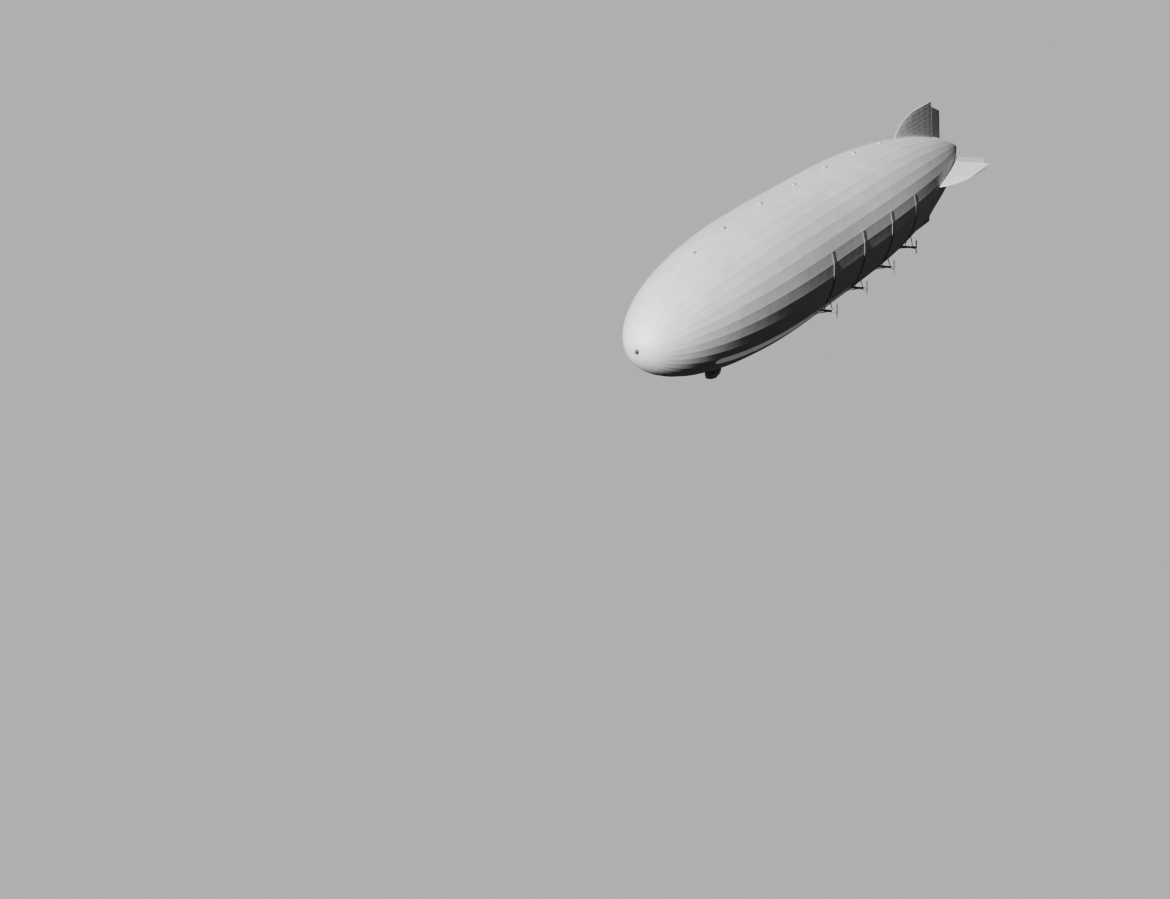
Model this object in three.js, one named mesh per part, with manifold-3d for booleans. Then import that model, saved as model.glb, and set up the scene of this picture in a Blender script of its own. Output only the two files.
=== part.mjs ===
// Rigid airship with eight swivelling propellers on outriggers, as a scale model at 1:10.
// Every size here is in metres of the full-size ship; a station is a distance aft of the nose.
// The part stands in model millimetres: +X forward, +Y to port, +Z up, and its origin lies on
// the hull's axis at the centre of lift.

import * as THREE from 'three';
import { mergeVertices } from 'three/addons/utils/BufferGeometryUtils.js';
import Module from 'manifold-3d';

const wasm = await Module();
wasm.setup();

// Scale and frame
const scale = 100; // model millimetres for one full-size metre
const liftStation = 106; // the origin's station
const seat = 0.004; // gap between pieces that touch

// Hull
const hullLength = 239.3;
const hullRadius = 20.25;
const hullSides = 36;
const halfFacet = Math.PI / hullSides; // a flat facet lies on top, so the first corner is this far round
const noseShare = 0.364; // share of the length over which the nose swells
const nosePower = 2.63;
const tailShare = 0.457; // share of the length where the tail starts to narrow
const tailPower = 2.44;
const wall = 0.1;
const capStation = 1; // nose cap in front of this, hull cover behind it
const coneStation = 235; // the hull is hollow up to this and ends in a solid cone
const coneStations = [236.6, 238.2];
const frameStations = [
  capStation, 2.4, 4.5, 7.5, 11.5, 16.5, 22.5, 30, 38, 47, 58, 70, 92, 112,
  127, 140, 152, 163, 173, 183, 192, 201, 209, 217, 224, 230, coneStation,
];

// Mooring spindle on the nose cap
const spindle = { baseRadius: 0.6, tipRadius: 0.34, reach: 1 };

// Fins and control surfaces
const fin = {
  front: 174.5, back: 210, root: 16.6, tip: 22.9, inner: 8.6,
  sweep: 17, curve: 1.6, // the leading edge rounds over within this length, as a superellipse
  halfRoot: 0.95, halfTip: 0.3,
};
const finShape = [ // share of the chord, share of the half thickness
  [0, 0.14], [0.03, 0.45], [0.12, 0.8], [0.35, 1], [0.7, 0.9], [1, 0.62],
];
const flap = {
  inner: 9.75, outer: 20.5, innerBack: 220, outerBack: 219,
  skirtStart: 1, halfEdge: 0.05, hullGap: 0.42, backGap: 0.06,
  rakeStart: 0.65, rakeEnd: 17.7, // the outer edge runs inwards from here, aft of the hinge, to here
};
const arm = { half: 0.14, width: 0.4, past: 0.35 };

// Power stations: engine inside, outrigger, swivelling gearbox, propeller and condenser
const powerStations = [77.5, 100, 122.5, 145];
const engine = { long: 2, wide: 1, high: 1.2, bite: 0.15, angle: 130 };
const boom = { reach: 4.3, height: -13.2, radius: 0.36, flange: 0.46, flangeThick: 0.14 };
const braces = [ // start inwards of the boom's end, then aft offset and angle where it meets the hull
  { inwards: 0.3, aft: -1.7, angle: 113, radius: 0.16 },
  { inwards: 0.7, aft: -3.4, angle: 131, radius: 0.16 },
  { inwards: 3, aft: 2.8, angle: 130, radius: 0.16 },
];
const head = { past: 0.56, radius: 0.44, front: 0.85, back: 0.62, neck: 0.4 };
const propeller = { hub: 0.24, length: 0.5, spinner: 0.45, plane: 0.88 };
const bladeShape = [ // radius, chord, thickness, pitch in degrees
  [0.1, 0.24, 0.2, 62], [0.45, 0.3, 0.16, 56], [0.9, 0.44, 0.12, 42],
  [1.4, 0.48, 0.09, 31], [1.9, 0.4, 0.07, 25], [2.3, 0.26, 0.05, 21], [2.49, 0.1, 0.03, 20],
];
const bladeSection = [ // share of the chord, share of the thickness
  [-0.5, 0], [-0.3, 0.4], [0, 0.5], [0.3, 0.32], [0.5, 0], [0.3, -0.2], [-0.1, -0.3], [-0.35, -0.25],
];
const condenser = { half: 0.6, proud: 0.15, from: 75, to: 123 };

// Hoods over the gas vents, along the top facet
const hoods = {
  stations: [31.5, 48.5, 71, 93.5, 116, 138.5, 161], long: 1.7, wide: 1.2, high: 0.5, taper: 0.6,
};

// Control car under the nose
const car = {
  noseCentre: 36.6, noseLong: 1.95, tailStart: 38.9, half: 1.75, sill: -20.2,
  wall: 0.12, slant: 2.5, // the tail's wall slants, so it is this much thicker lengthwise
};
const bellyLevels = [ // height, inset, where the tail starts, its length
  [-21.1, 0.15, 36.8, 0.95], [-20.6, 0.03, 38, 1.2], [car.sill - seat, 0, car.tailStart, 1.2],
];
const wallLevels = [ // height, length of the tail
  [car.sill, 1.2], [-19.5, 2.2], [-18.9, 2.9], [-18.2, 3.5], [-17, 4.1],
];
const carWindow = { low: -19.6, high: -18.65, wide: 0.56 };
const noseWindowAngles = [-66, -40, -14, 14, 40, 66];
const portWindows = [37.1];
const starboardWindows = [37.1, 37.8, 38.45];
const glass = { thick: 0.03, lap: 0.12 };
const door = {
  front: 37.85, back: 38.6, low: -20.13, high: -18.3,
  latchGap: 0.02, edgeGap: 0.01, pin: 0.05, pinRadius: 0.04, knuckle: 0.3,
};
const doorWindow = { half: 0.22, low: -19.35, high: -18.65 };
const doorKnuckles = [-19.95, -19.1];

const surfaces = [ // the side that a fin points to, its angle about the axis, its flap's name
  { side: 'upper', angle: 0, flap: 'rudder' },
  { side: 'port', angle: 90, flap: 'elevator' },
  { side: 'lower', angle: 180, flap: 'rudder' },
  { side: 'starboard', angle: 270, flap: 'elevator' },
];
const flanks = [
  { side: 'port', sign: 1 },
  { side: 'starboard', sign: -1 },
];

const paint = {
  cover: { color: 0xb9bab8, roughness: 0.62, metalness: 0.25 },
  metal: { color: 0x9b9d9f, roughness: 0.4, metalness: 0.8 },
  dark: { color: 0x4a4c4e, roughness: 0.5, metalness: 0.6 },
  car: { color: 0x6c6e70, roughness: 0.5, metalness: 0.5 },
  wood: { color: 0x6b4a2c, roughness: 0.45, metalness: 0 },
  iron: { color: 0x3a3b3d, roughness: 0.6, metalness: 0.7 },
  glass: { color: 0x9fb2bb, roughness: 0.1, metalness: 0 },
};

const rad = THREE.MathUtils.degToRad;
const lerp = THREE.MathUtils.lerp;

// A point of the model from a station, a port offset and a height.
function point(station, y, z) {
  return new THREE.Vector3((liftStation - station) * scale, y * scale, z * scale);
}

// A point at an angle from the top towards port, at a distance from the axis.
function polar(station, distance, degrees) {
  return point(station, distance * Math.sin(rad(degrees)), distance * Math.cos(rad(degrees)));
}

// Swells as a power curve to the widest point, then narrows as another.
function radiusAt(station) {
  const share = station / hullLength;
  const nose = share < noseShare ? Math.sqrt(1 - (1 - share / noseShare) ** nosePower) : 1;
  const late = Math.max(0, (share - tailShare) / (1 - tailShare));
  return hullRadius * nose * (1 - late ** tailPower);
}

function slopeAt(station) {
  const step = 0.05;
  return (radiusAt(station + step) - radiusAt(station - step)) / (2 * step);
}

// A closed geometry as a solid that can be joined and cut, its faces turned outwards.
function solid(geometry) {
  const bare = geometry.clone();
  bare.deleteAttribute('normal');
  bare.deleteAttribute('uv');
  const merged = mergeVertices(bare, 1e-3);
  const position = merged.attributes.position;
  const index = Uint32Array.from(merged.index.array);
  const corners = [new THREE.Vector3(), new THREE.Vector3(), new THREE.Vector3()];
  const kept = [];
  let volume = 0;
  for (let i = 0; i < index.length; i += 3) {
    const [a, b, c] = index.subarray(i, i + 3);
    if (a === b || b === c || c === a) continue;
    kept.push(a, b, c);
    corners.forEach((corner, k) => corner.fromBufferAttribute(position, [a, b, c][k]));
    volume += corners[0].dot(corners[1].cross(corners[2]));
  }
  if (volume < 0) kept.reverse();
  return new wasm.Manifold(new wasm.Mesh({
    numProp: 3,
    vertProperties: Float32Array.from(position.array),
    triVerts: Uint32Array.from(kept),
  }));
}

function geometryOf(manifold) {
  const mesh = manifold.getMesh();
  const geometry = new THREE.BufferGeometry();
  geometry.setAttribute('position', new THREE.BufferAttribute(mesh.vertProperties, 3));
  geometry.setIndex(new THREE.BufferAttribute(mesh.triVerts, 1));
  return geometry;
}

// Rings of equally many points joined in order, with a flat fan closing each end.
function loft(rings) {
  const sides = rings[0].length;
  const positions = rings.flat().flatMap((corner) => corner.toArray());
  const index = [];
  for (let ring = 0; ring + 1 < rings.length; ring += 1) {
    for (let side = 0; side < sides; side += 1) {
      const a = ring * sides + side;
      const b = ring * sides + (side + 1) % sides;
      index.push(a, b, a + sides, b, b + sides, a + sides);
    }
  }
  const last = (rings.length - 1) * sides;
  for (let side = 1; side + 1 < sides; side += 1) {
    index.push(0, side + 1, side, last, last + side, last + side + 1);
  }
  const geometry = new THREE.BufferGeometry();
  geometry.setAttribute('position', new THREE.Float32BufferAttribute(positions, 3));
  geometry.setIndex(index);
  return solid(geometry);
}

// A profile of stations and radii turned about the ship's axis, its first corner at an angle.
function turned(profile, sides, firstCorner = 0) {
  const points = profile.map(([station, radius]) => (
    new THREE.Vector2(radius * scale, (liftStation - station) * scale)));
  return solid(new THREE.LatheGeometry(points, sides, firstCorner).rotateZ(-Math.PI / 2));
}

// A round bar between two points.
function rod(from, to, radius, sides) {
  const along = to.clone().sub(from);
  const geometry = new THREE.CylinderGeometry(radius * scale, radius * scale, along.length(), sides);
  const turn = new THREE.Quaternion().setFromUnitVectors(
    new THREE.Vector3(0, 1, 0), along.clone().normalize());
  geometry.applyQuaternion(turn);
  const middle = from.clone().add(to).multiplyScalar(0.5);
  return solid(geometry.translate(middle.x, middle.y, middle.z));
}

// A box between two corners.
function block(low, high) {
  const box = new THREE.Box3().setFromPoints([low, high]);
  const size = box.getSize(new THREE.Vector3());
  const centre = box.getCenter(new THREE.Vector3());
  return solid(new THREE.BoxGeometry(size.x, size.y, size.z).translate(centre.x, centre.y, centre.z));
}

function joined(...solids) {
  return solids.reduce((whole, piece) => whole.add(piece));
}

// The hull's outside, grown by a distance, as one solid from nose to tail.
function hullBody(grow) {
  const profile = frameStations.map((station) => [station, radiusAt(station) + grow]);
  return turned([[0, 0], [0, 1 + grow], ...profile, [hullLength, 0]], hullSides, halfFacet);
}

// The space inside the hull cover, shrunk by a distance.
function hullSpace(shrink) {
  const profile = frameStations.map((station) => [station, innerRadiusAt(station) - shrink]);
  return turned([[capStation, 0], ...profile, [coneStation, 0]], hullSides, halfFacet);
}

function innerRadiusAt(station) {
  return radiusAt(station) - wall * Math.hypot(1, slopeAt(station));
}

// Radius of the cover at a station: straight between two frames.
function coverRadiusAt(station) {
  const next = frameStations.findIndex((frame) => frame > station);
  const [front, back] = [frameStations[next - 1], frameStations[next]];
  const share = (station - front) / (back - front);
  return lerp(radiusAt(front), radiusAt(back), share);
}

const hullSolid = hullBody(seat);
const innerSpace = hullSpace(seat);

// A vent hood on the top facet: a low block that narrows upwards, rooted in the cover's wall.
function ventHood(station) {
  const ring = (lift, share) => {
    const long = hoods.long / 2 * share;
    const wide = hoods.wide / 2 * share;
    return [[-long, -wide], [-long, wide], [long, wide], [long, -wide]].map(([aft, y]) => (
      point(station + aft, y, coverRadiusAt(station + aft) * Math.cos(halfFacet) + lift)));
  };
  return loft([ring(-0.8 * wall, 1), ring(hoods.high * 0.55, 1), ring(hoods.high, hoods.taper)]);
}

function hullCover() {
  const outside = [...frameStations, ...coneStations].map((station) => [station, radiusAt(station)]);
  const inside = frameStations.map((station) => [station, innerRadiusAt(station)]).reverse();
  const end = [[hullLength, 0], [coneStation, 0]];
  const vents = hoods.stations.map(ventHood);
  return joined(turned([...outside, ...end, ...inside, outside[0]], hullSides, halfFacet), ...vents);
}

function noseCap() {
  const back = capStation - seat;
  const rim = [0.12, 0.35, 0.65, back].map((station) => [station, radiusAt(station)]);
  return turned([[0, 0], [0, spindle.baseRadius + 0.05], ...rim, [back, 0]], hullSides, halfFacet);
}

function mooringSpindle() {
  const { baseRadius, tipRadius, reach } = spindle;
  return turned([
    [-seat, 0], [-seat, baseRadius], [-reach * 0.3, baseRadius * 0.8],
    [-reach * 0.5, tipRadius], [-reach, tipRadius], [-reach, 0],
  ], 16);
}

// Thickness and front edge of a fin at a distance from the axis.
function finHalf(distance) {
  return lerp(fin.halfRoot, fin.halfTip, (distance - fin.inner) / (fin.tip - fin.inner));
}

function finFront(distance) {
  const up = Math.max(0, (distance - fin.root) / (fin.tip - fin.root));
  return fin.front + fin.sweep * (1 - (1 - up ** fin.curve) ** (1 / fin.curve));
}

const edgeShare = finShape[finShape.length - 1][1];
const hingeStation = fin.back + flap.backGap + finHalf(flap.inner) * edgeShare;

// A fin drawn as the upper one, with the two arms that carry its flap.
function finBody() {
  const steps = [0, 0.12, 0.3, 0.5, 0.68, 0.82, 0.93, 1];
  const distances = [fin.inner, ...steps.map((share) => lerp(fin.root, fin.tip, share))];
  const rings = distances.map((distance) => {
    const front = finFront(distance);
    const port = finShape.map(([along, share]) => (
      point(lerp(front, fin.back, along), share * finHalf(distance), distance)));
    const starboard = port.map((p) => new THREE.Vector3(p.x, -p.y, p.z)).reverse();
    return [...port, ...starboard];
  });
  const start = fin.back - 0.3;
  const end = hingeStation + arm.past;
  const outerArm = block(
    point(start, -arm.half, flap.outer + seat), point(end, arm.half, flap.outer + arm.width));
  const innerArm = block(
    point(start, -arm.half, flap.inner - seat), point(end, arm.half, flap.inner - 2 * arm.width));
  return joined(loft(rings), outerArm, innerArm).subtract(hullSolid);
}

// A flap drawn as the upper rudder: round about its hinge in front, thin behind.
function flapBody() {
  const arcs = 8;
  const rings = [flap.inner - 3.4, flap.outer].map((distance) => {
    const radius = finHalf(distance) * edgeShare;
    const share = (distance - flap.inner) / (flap.outer - flap.inner);
    const back = lerp(flap.innerBack, flap.outerBack, share);
    const nose = Array.from({ length: arcs + 1 }, (_, k) => {
      const turn = rad(90 + 180 * k / arcs);
      return point(hingeStation + radius * Math.cos(turn), radius * Math.sin(turn), distance);
    });
    return [...nose, point(back, -flap.halfEdge, distance), point(back, flap.halfEdge, distance)];
  });
  const skirt = hingeStation + flap.skirtStart;
  const below = [
    [fin.back - 2, flap.inner], [skirt, flap.inner],
    [skirt + 0.4, radiusAt(skirt + 0.4) + flap.hullGap],
    [217, radiusAt(217) + flap.hullGap],
    [223, radiusAt(223) + flap.hullGap], [223, 2], [fin.back - 2, 2],
  ];
  const rake = hingeStation + flap.rakeStart;
  const beyond = [
    [rake, flap.outer], [flap.outerBack, flap.rakeEnd], [223, flap.rakeEnd],
    [223, flap.outer + 1], [rake, flap.outer + 1],
  ];
  const cuts = [below, beyond].map((outline) => (
    loft([-4, 4].map((y) => outline.map(([station, z]) => point(station, y, z))))));
  return cuts.reduce((body, cut) => body.subtract(cut), loft(rings));
}

function engineBody(station, sign) {
  const [across, up] = [Math.sin(rad(engine.angle)), Math.cos(rad(engine.angle))];
  const normal = innerRadiusAt(station) * Math.cos(halfFacet);
  const reach = (engine.wide * across - engine.high * up) / 2;
  const distance = normal - reach + engine.bite;
  const y = sign * distance * across;
  const z = distance * up;
  const low = point(station + engine.long / 2, y - engine.wide / 2, z - engine.high / 2);
  const high = point(station - engine.long / 2, y + engine.wide / 2, z + engine.high / 2);
  return block(low, high).intersect(innerSpace);
}

// Where a power station's boom ends, the same reach out of the hull at each.
function boomEnd(station) {
  return Math.sqrt(radiusAt(station) ** 2 - boom.height ** 2) + boom.reach;
}

function outriggerBody(station, sign) {
  const reach = boomEnd(station);
  const start = point(station, sign * 13, boom.height);
  const end = point(station, sign * reach, boom.height);
  const flangeStart = point(station, sign * (reach - boom.flangeThick), boom.height);
  const tube = rod(start, end, boom.radius, 12);
  const flange = rod(flangeStart, end, boom.flange, 16);
  const struts = braces.map((brace) => {
    const foot = station + brace.aft;
    const hullPoint = polar(foot, radiusAt(foot) - 0.6, sign * brace.angle);
    const outer = point(station, sign * (reach - brace.inwards), boom.height);
    return rod(outer, hullPoint, brace.radius, 8);
  });
  return joined(tube, flange, ...struts).subtract(hullSolid);
}

function gearboxBody(station, sign) {
  const shape = [
    [-head.front, 0], [-head.front * 0.93, head.radius * 0.45], [-head.front * 0.66, head.radius * 0.82],
    [-head.front * 0.3, head.radius], [head.back * 0.5, head.radius],
    [head.back, propeller.hub + 0.02], [head.back, 0],
  ];
  const centre = boomEnd(station) + head.past;
  const body = turned(shape.map(([along, radius]) => [station + along, radius]), 16)
    .translate(0, sign * centre * scale, boom.height * scale);
  const neck = rod(
    point(station, sign * (boomEnd(station) + seat), boom.height),
    point(station, sign * centre, boom.height), head.neck, 16);
  return joined(body, neck);
}

function propellerBody(station, sign) {
  const front = head.back + seat;
  const back = front + propeller.length;
  const shape = [
    [front, 0], [front, propeller.hub], [back, propeller.hub],
    [back + propeller.spinner * 0.5, propeller.hub * 0.75],
    [back + propeller.spinner * 0.85, propeller.hub * 0.35], [back + propeller.spinner, 0],
  ];
  const hub = turned(shape, 16);
  const rings = bladeShape.map(([radius, chord, thickness, pitch]) => {
    const turn = rad(pitch);
    return bladeSection.map(([across, through]) => {
      const u = across * chord;
      const v = through * thickness;
      return point(
        propeller.plane + u * Math.sin(turn) + v * Math.cos(turn),
        u * Math.cos(turn) - v * Math.sin(turn), radius);
    });
  });
  const opposite = rings.map((ring) => ring.map((p) => new THREE.Vector3(p.x, -p.y, -p.z)));
  const centre = boomEnd(station) + head.past;
  const offset = point(station, sign * centre, boom.height).sub(point(0, 0, 0));
  return joined(hub, loft(rings), loft(opposite)).translate(offset.x, offset.y, offset.z);
}

function condenserBody(station, sign) {
  const { half, proud, from, to } = condenser;
  const corners = [from, 85, 95, 105, 115, to];
  const rings = corners.map((degrees) => {
    const within = (degrees + 5) % 10 - 5;
    const facet = Math.cos(halfFacet) / Math.cos(rad(within));
    const at = (aft, out) => (
      polar(station + aft, radiusAt(station + aft) * facet + out, sign * degrees));
    return [at(-half, -0.2), at(-half, proud), at(half, proud), at(half, -0.2)];
  });
  return loft(rings).subtract(hullSolid);
}

// The control car's plan at a height: a half ellipse in front, straight sides and a half
// ellipse behind, drawn in by an inset and then by a wall.
function carPlan(height, inset, tailStart, tailLong, shrink) {
  const steps = 8;
  const plan = [];
  const half = car.half - inset - shrink;
  for (let k = 0; k <= steps; k += 1) {
    const turn = rad(-90 + 180 * k / steps);
    const x = car.noseCentre - (car.noseLong - inset - shrink) * Math.cos(turn);
    plan.push(point(x, half * Math.sin(turn), height));
  }
  for (let k = 0; k <= steps; k += 1) {
    const turn = rad(90 - 180 * k / steps);
    const x = tailStart + (tailLong - inset - car.slant * shrink) * Math.cos(turn);
    plan.push(point(x, half * Math.sin(turn), height));
  }
  return plan;
}

// The car over its sill, drawn in by a wall, with its tail swept up into the hull.
function carForm(shrink) {
  const plans = wallLevels.map(([height, long]) => carPlan(height, 0, car.tailStart, long, shrink));
  const [, sillLong] = wallLevels[0];
  const foot = carPlan(car.sill - shrink, 0, car.tailStart, sillLong, shrink);
  return loft(shrink > 0 ? [foot, ...plans] : plans);
}

// The part of a body between two stations and between two offsets to port.
function between(body, front, back, starboard, port) {
  const [low, high] = [-30, 0];
  return body.intersect(block(point(front, starboard, low), point(back, port, high)));
}

// A box that cuts a window in the nose, turned about the centre of its curve.
function noseWindow(degrees) {
  const reach = 2 * scale;
  const start = 0.9 * scale;
  const wide = carWindow.wide * scale;
  const high = (carWindow.high - carWindow.low) * scale;
  const middle = point(car.noseCentre, 0, (carWindow.high + carWindow.low) / 2);
  const box = new THREE.BoxGeometry(reach, wide, high).translate(reach / 2 + start, 0, 0);
  return solid(box.rotateZ(rad(degrees)).translate(middle.x, middle.y, middle.z));
}

function sideWindow(station, sign) {
  const { low, high, wide } = carWindow;
  return block(point(station - wide / 2, sign, low), point(station + wide / 2, sign * 2, high));
}

const pinY = car.half + door.pin;

// Two knuckles about the door's pin, each with a leaf reaching to the wall behind it.
function knuckles(shift, stationTo) {
  return doorKnuckles.flatMap((height) => {
    const low = height + shift;
    const barrel = rod(point(door.front, pinY, low), point(door.front, pinY, low + door.knuckle),
      door.pinRadius, 10);
    const leaf = block(
      point(door.front, car.half - 0.02, low),
      point(stationTo, pinY - 0.01, low + door.knuckle));
    return [barrel, leaf];
  });
}

// The walls as four pieces: nose, port side, starboard side and tail.
function carWalls() {
  const doorway = block(point(door.front, 1, door.low), point(door.back, 2, door.high));
  const cuts = [
    ...noseWindowAngles.map(noseWindow),
    ...portWindows.map((station) => sideWindow(station, 1)),
    ...starboardWindows.map((station) => sideWindow(station, -1)),
    doorway, hullSolid,
  ];
  const walls = cuts.reduce((body, cut) => body.subtract(cut), carForm(0).subtract(carForm(car.wall)));
  const [sideFront, sideBack] = [car.noseCentre + seat / 2, car.tailStart - seat / 2];
  const portSide = between(walls, sideFront, sideBack, 0, 3);
  return {
    nose: between(walls, 0, car.noseCentre - seat / 2, -3, 3),
    port_side: joined(portSide, ...knuckles(door.knuckle + seat, door.front - 0.25)),
    starboard_side: between(walls, sideFront, sideBack, -3, 0),
    tail: between(walls, car.tailStart + seat / 2, liftStation, -3, 3),
  };
}

function carFloor() {
  return loft(bellyLevels.map((level) => carPlan(...level, 0)));
}

// The glazing inside the walls: one curved piece round the nose and a flat one on each side.
function carGlazing() {
  const inset = car.wall + seat;
  const band = block(
    point(0, -3, carWindow.low - glass.lap), point(liftStation, 3, carWindow.high + glass.lap));
  const ring = carForm(inset).subtract(carForm(inset + glass.thick)).intersect(band);
  const sideFront = car.noseCentre + seat / 2;
  return {
    nose: between(ring, 0, car.noseCentre - seat / 2, -3, 3),
    port: between(ring, sideFront, door.front - 0.1, 0, 3),
    starboard: between(ring, sideFront, car.tailStart - seat / 2, -3, 0),
  };
}

function carDoor() {
  const leaf = block(
    point(door.front + seat, car.half - car.wall, door.low + door.edgeGap),
    point(door.back - door.latchGap, car.half, door.high - door.edgeGap));
  const middle = (door.front + door.back) / 2;
  const opening = block(
    point(middle - doorWindow.half, 1, doorWindow.low),
    point(middle + doorWindow.half, 2, doorWindow.high));
  return joined(leaf.subtract(opening), ...knuckles(0, door.front + 0.25));
}

const ship = new THREE.Group();

function add(name, body, finish) {
  const mesh = new THREE.Mesh(geometryOf(body), new THREE.MeshStandardMaterial(paint[finish]));
  mesh.name = name;
  ship.add(mesh);
  return mesh;
}

add('envelope', hullCover(), 'cover');
add('nose_cap', noseCap(), 'metal');
add('mooring_spindle', mooringSpindle(), 'dark');

const oneFin = finBody();
const oneFlap = flapBody();
surfaces.forEach(({ side, angle, flap: kind }) => {
  add(`${side}_fin`, oneFin.rotate(-angle, 0, 0), 'cover');
  add(`${side}_${kind}`, oneFlap.rotate(-angle, 0, 0), 'cover');
});

flanks.forEach(({ side, sign }) => {
  powerStations.forEach((station, k) => {
    const number = k + 1;
    add(`engine_${side}_${number}`, engineBody(station, sign), 'iron');
    add(`outrigger_${side}_${number}`, outriggerBody(station, sign), 'dark');
    add(`gearbox_${side}_${number}`, gearboxBody(station, sign), 'dark');
    add(`propeller_${side}_${number}`, propellerBody(station, sign), 'wood');
    add(`condenser_${side}_${number}`, condenserBody(station, sign), 'metal');
  });
});

add('control_car_floor', carFloor(), 'car');
add('control_car_door', carDoor(), 'car');
Object.entries(carWalls()).forEach(([name, body]) => {
  add(`control_car_${name}`, body, 'car');
});
Object.entries(carGlazing()).forEach(([name, body]) => {
  add(`control_car_${name}_glazing`, body, 'glass');
});

export default ship;
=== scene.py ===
import bpy
import numpy as np
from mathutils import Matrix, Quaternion, Vector


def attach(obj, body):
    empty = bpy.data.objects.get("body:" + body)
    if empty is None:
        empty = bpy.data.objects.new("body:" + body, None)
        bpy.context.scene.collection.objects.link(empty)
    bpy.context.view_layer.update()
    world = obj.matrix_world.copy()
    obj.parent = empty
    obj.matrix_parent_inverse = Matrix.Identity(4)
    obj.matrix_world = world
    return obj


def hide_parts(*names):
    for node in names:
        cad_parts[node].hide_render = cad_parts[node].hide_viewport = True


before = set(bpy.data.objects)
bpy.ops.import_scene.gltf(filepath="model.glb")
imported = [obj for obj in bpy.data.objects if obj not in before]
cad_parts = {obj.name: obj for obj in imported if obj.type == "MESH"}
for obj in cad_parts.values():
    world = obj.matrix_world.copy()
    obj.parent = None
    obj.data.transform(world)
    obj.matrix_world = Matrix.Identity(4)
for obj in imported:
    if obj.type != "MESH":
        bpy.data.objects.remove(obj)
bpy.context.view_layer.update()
print("frame loaded with", len(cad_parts), "nodes")

# Every shape below is worked out in full-size metres: x forward of the centre of lift, y to
# port, z up. makePiece brings it down to the model's scale.
ship = {
    "scale": 0.1,
    "liftStation": 106.0,  # a station is a distance aft of the nose
    "length": 239.3,
    "radius": 20.25,
    "sides": 36,
    "noseShare": 0.364,  # share of the length over which the nose swells
    "nosePower": 2.63,
    "tailShare": 0.457,  # share of the length where the tail starts to narrow
    "tailPower": 2.44,
}
facet = 360 / ship["sides"]
flanks = {"port": 1, "starboard": -1}
forward, portward, upward = np.eye(3)


# A station, an offset to port and a height become a point.
def place(station, port, height):
    station, port, height = np.broadcast_arrays(station, port, height)
    return np.stack([ship["liftStation"] - station, port, height], -1).astype(float)


# The same from an angle in degrees from the top towards port, and a distance from the axis.
def polar(station, distance, degrees):
    turn = np.radians(degrees)
    return place(station, distance * np.sin(turn), distance * np.cos(turn))


# Unit vectors straight out of the hull at angles from the top towards port.
def outwards(degrees):
    return polar(ship["liftStation"], 1.0, degrees)


# The hull swells as a root of a power curve up to its widest point and narrows as another.
def hullRadius(station):
    share = np.asarray(station, float) / ship["length"]
    swell = np.clip(1 - share / ship["noseShare"], 0, 1) ** ship["nosePower"]
    late = np.clip((share - ship["tailShare"]) / (1 - ship["tailShare"]), 0, 1)
    return ship["radius"] * np.sqrt(1 - swell) * (1 - late ** ship["tailPower"])


def hullSlope(station):
    return (hullRadius(station + 0.05) - hullRadius(station - 0.05)) / 0.1


# A facet lies nearest the axis at its middle: corner radius times the cosine of half a
# facet, over the cosine of the angle from the middle.
def facetDistance(station, degrees):
    within = np.mod(degrees + facet / 2, facet) - facet / 2
    flat = np.cos(np.radians(facet / 2)) / np.cos(np.radians(within))
    return hullRadius(station) * flat


# Points on the faceted cover of one side, or over it by a lift.
def onCover(station, degrees, lift, sign=1):
    return polar(station, facetDistance(station, degrees) + lift, sign * degrees)


def smoothStep(low, high, value):
    share = np.clip((np.asarray(value, float) - low) / (high - low), 0, 1)
    return share * share * (3 - 2 * share)


# Turns a closed patch's faces outwards: the sum of a.(b x c) over its triangles is positive.
def closedPatch(points, quads, triangles, finish, fields):
    fan = np.vstack([quads[:, [0, 1, 2]], quads[:, [0, 2, 3]], triangles])
    a, b, c = (points[fan[:, k]] - points.mean(0) for k in range(3))
    if (a * np.cross(b, c)).sum() < 0:
        quads, triangles = quads[:, ::-1], triangles[:, ::-1]
    return {"points": points, "quads": quads, "triangles": triangles,
            "finish": finish, "fields": fields}


# A skin over a grid whose columns run round it. The rows meet again where it is closed, and
# else a fan covers each end.
def patch(points, closed=False, finish=0, fields=None):
    rows, columns = points.shape[:2]
    index = np.arange(rows * columns).reshape(rows, columns)
    index = np.hstack([index, index[:, :1]])
    if closed:
        index = np.vstack([index, index[:1]])
    corners = [index[:-1, :-1], index[1:, :-1], index[1:, 1:], index[:-1, 1:]]
    quads = np.stack(corners, -1).reshape(-1, 4)
    vertices = points.reshape(-1, 3)
    fields = {name: np.broadcast_to(value, (rows, columns)).ravel()
              for name, value in (fields or {}).items()}
    fans = [np.zeros((0, 3), int)]
    for row, order in () if closed else ((index[0], 1), (index[-1], -1)):
        middle = np.full(columns, len(vertices))
        vertices = np.vstack([vertices, vertices[row[:-1]].mean(0)])
        fields = {name: np.append(value, value[row[:-1]].mean()) for name, value in fields.items()}
        fans.append(np.stack([row[:-1], row[1:], middle], -1)[:, ::order])
    return closedPatch(vertices, quads, np.vstack(fans), finish, fields)


# A patch with its points changed by a function.
def changed(one, change):
    return closedPatch(change(one["points"]), one["quads"], one["triangles"],
                       one["finish"], one["fields"])


# Turned about the ship's axis from the top towards port, by an angle in degrees.
def turnedAbout(patches, degrees):
    c, s = np.cos(np.radians(degrees)), np.sin(np.radians(degrees))
    turn = np.array([[1, 0, 0], [0, c, -s], [0, s, c]])
    return [changed(one, lambda p: p @ turn) for one in patches]


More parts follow.
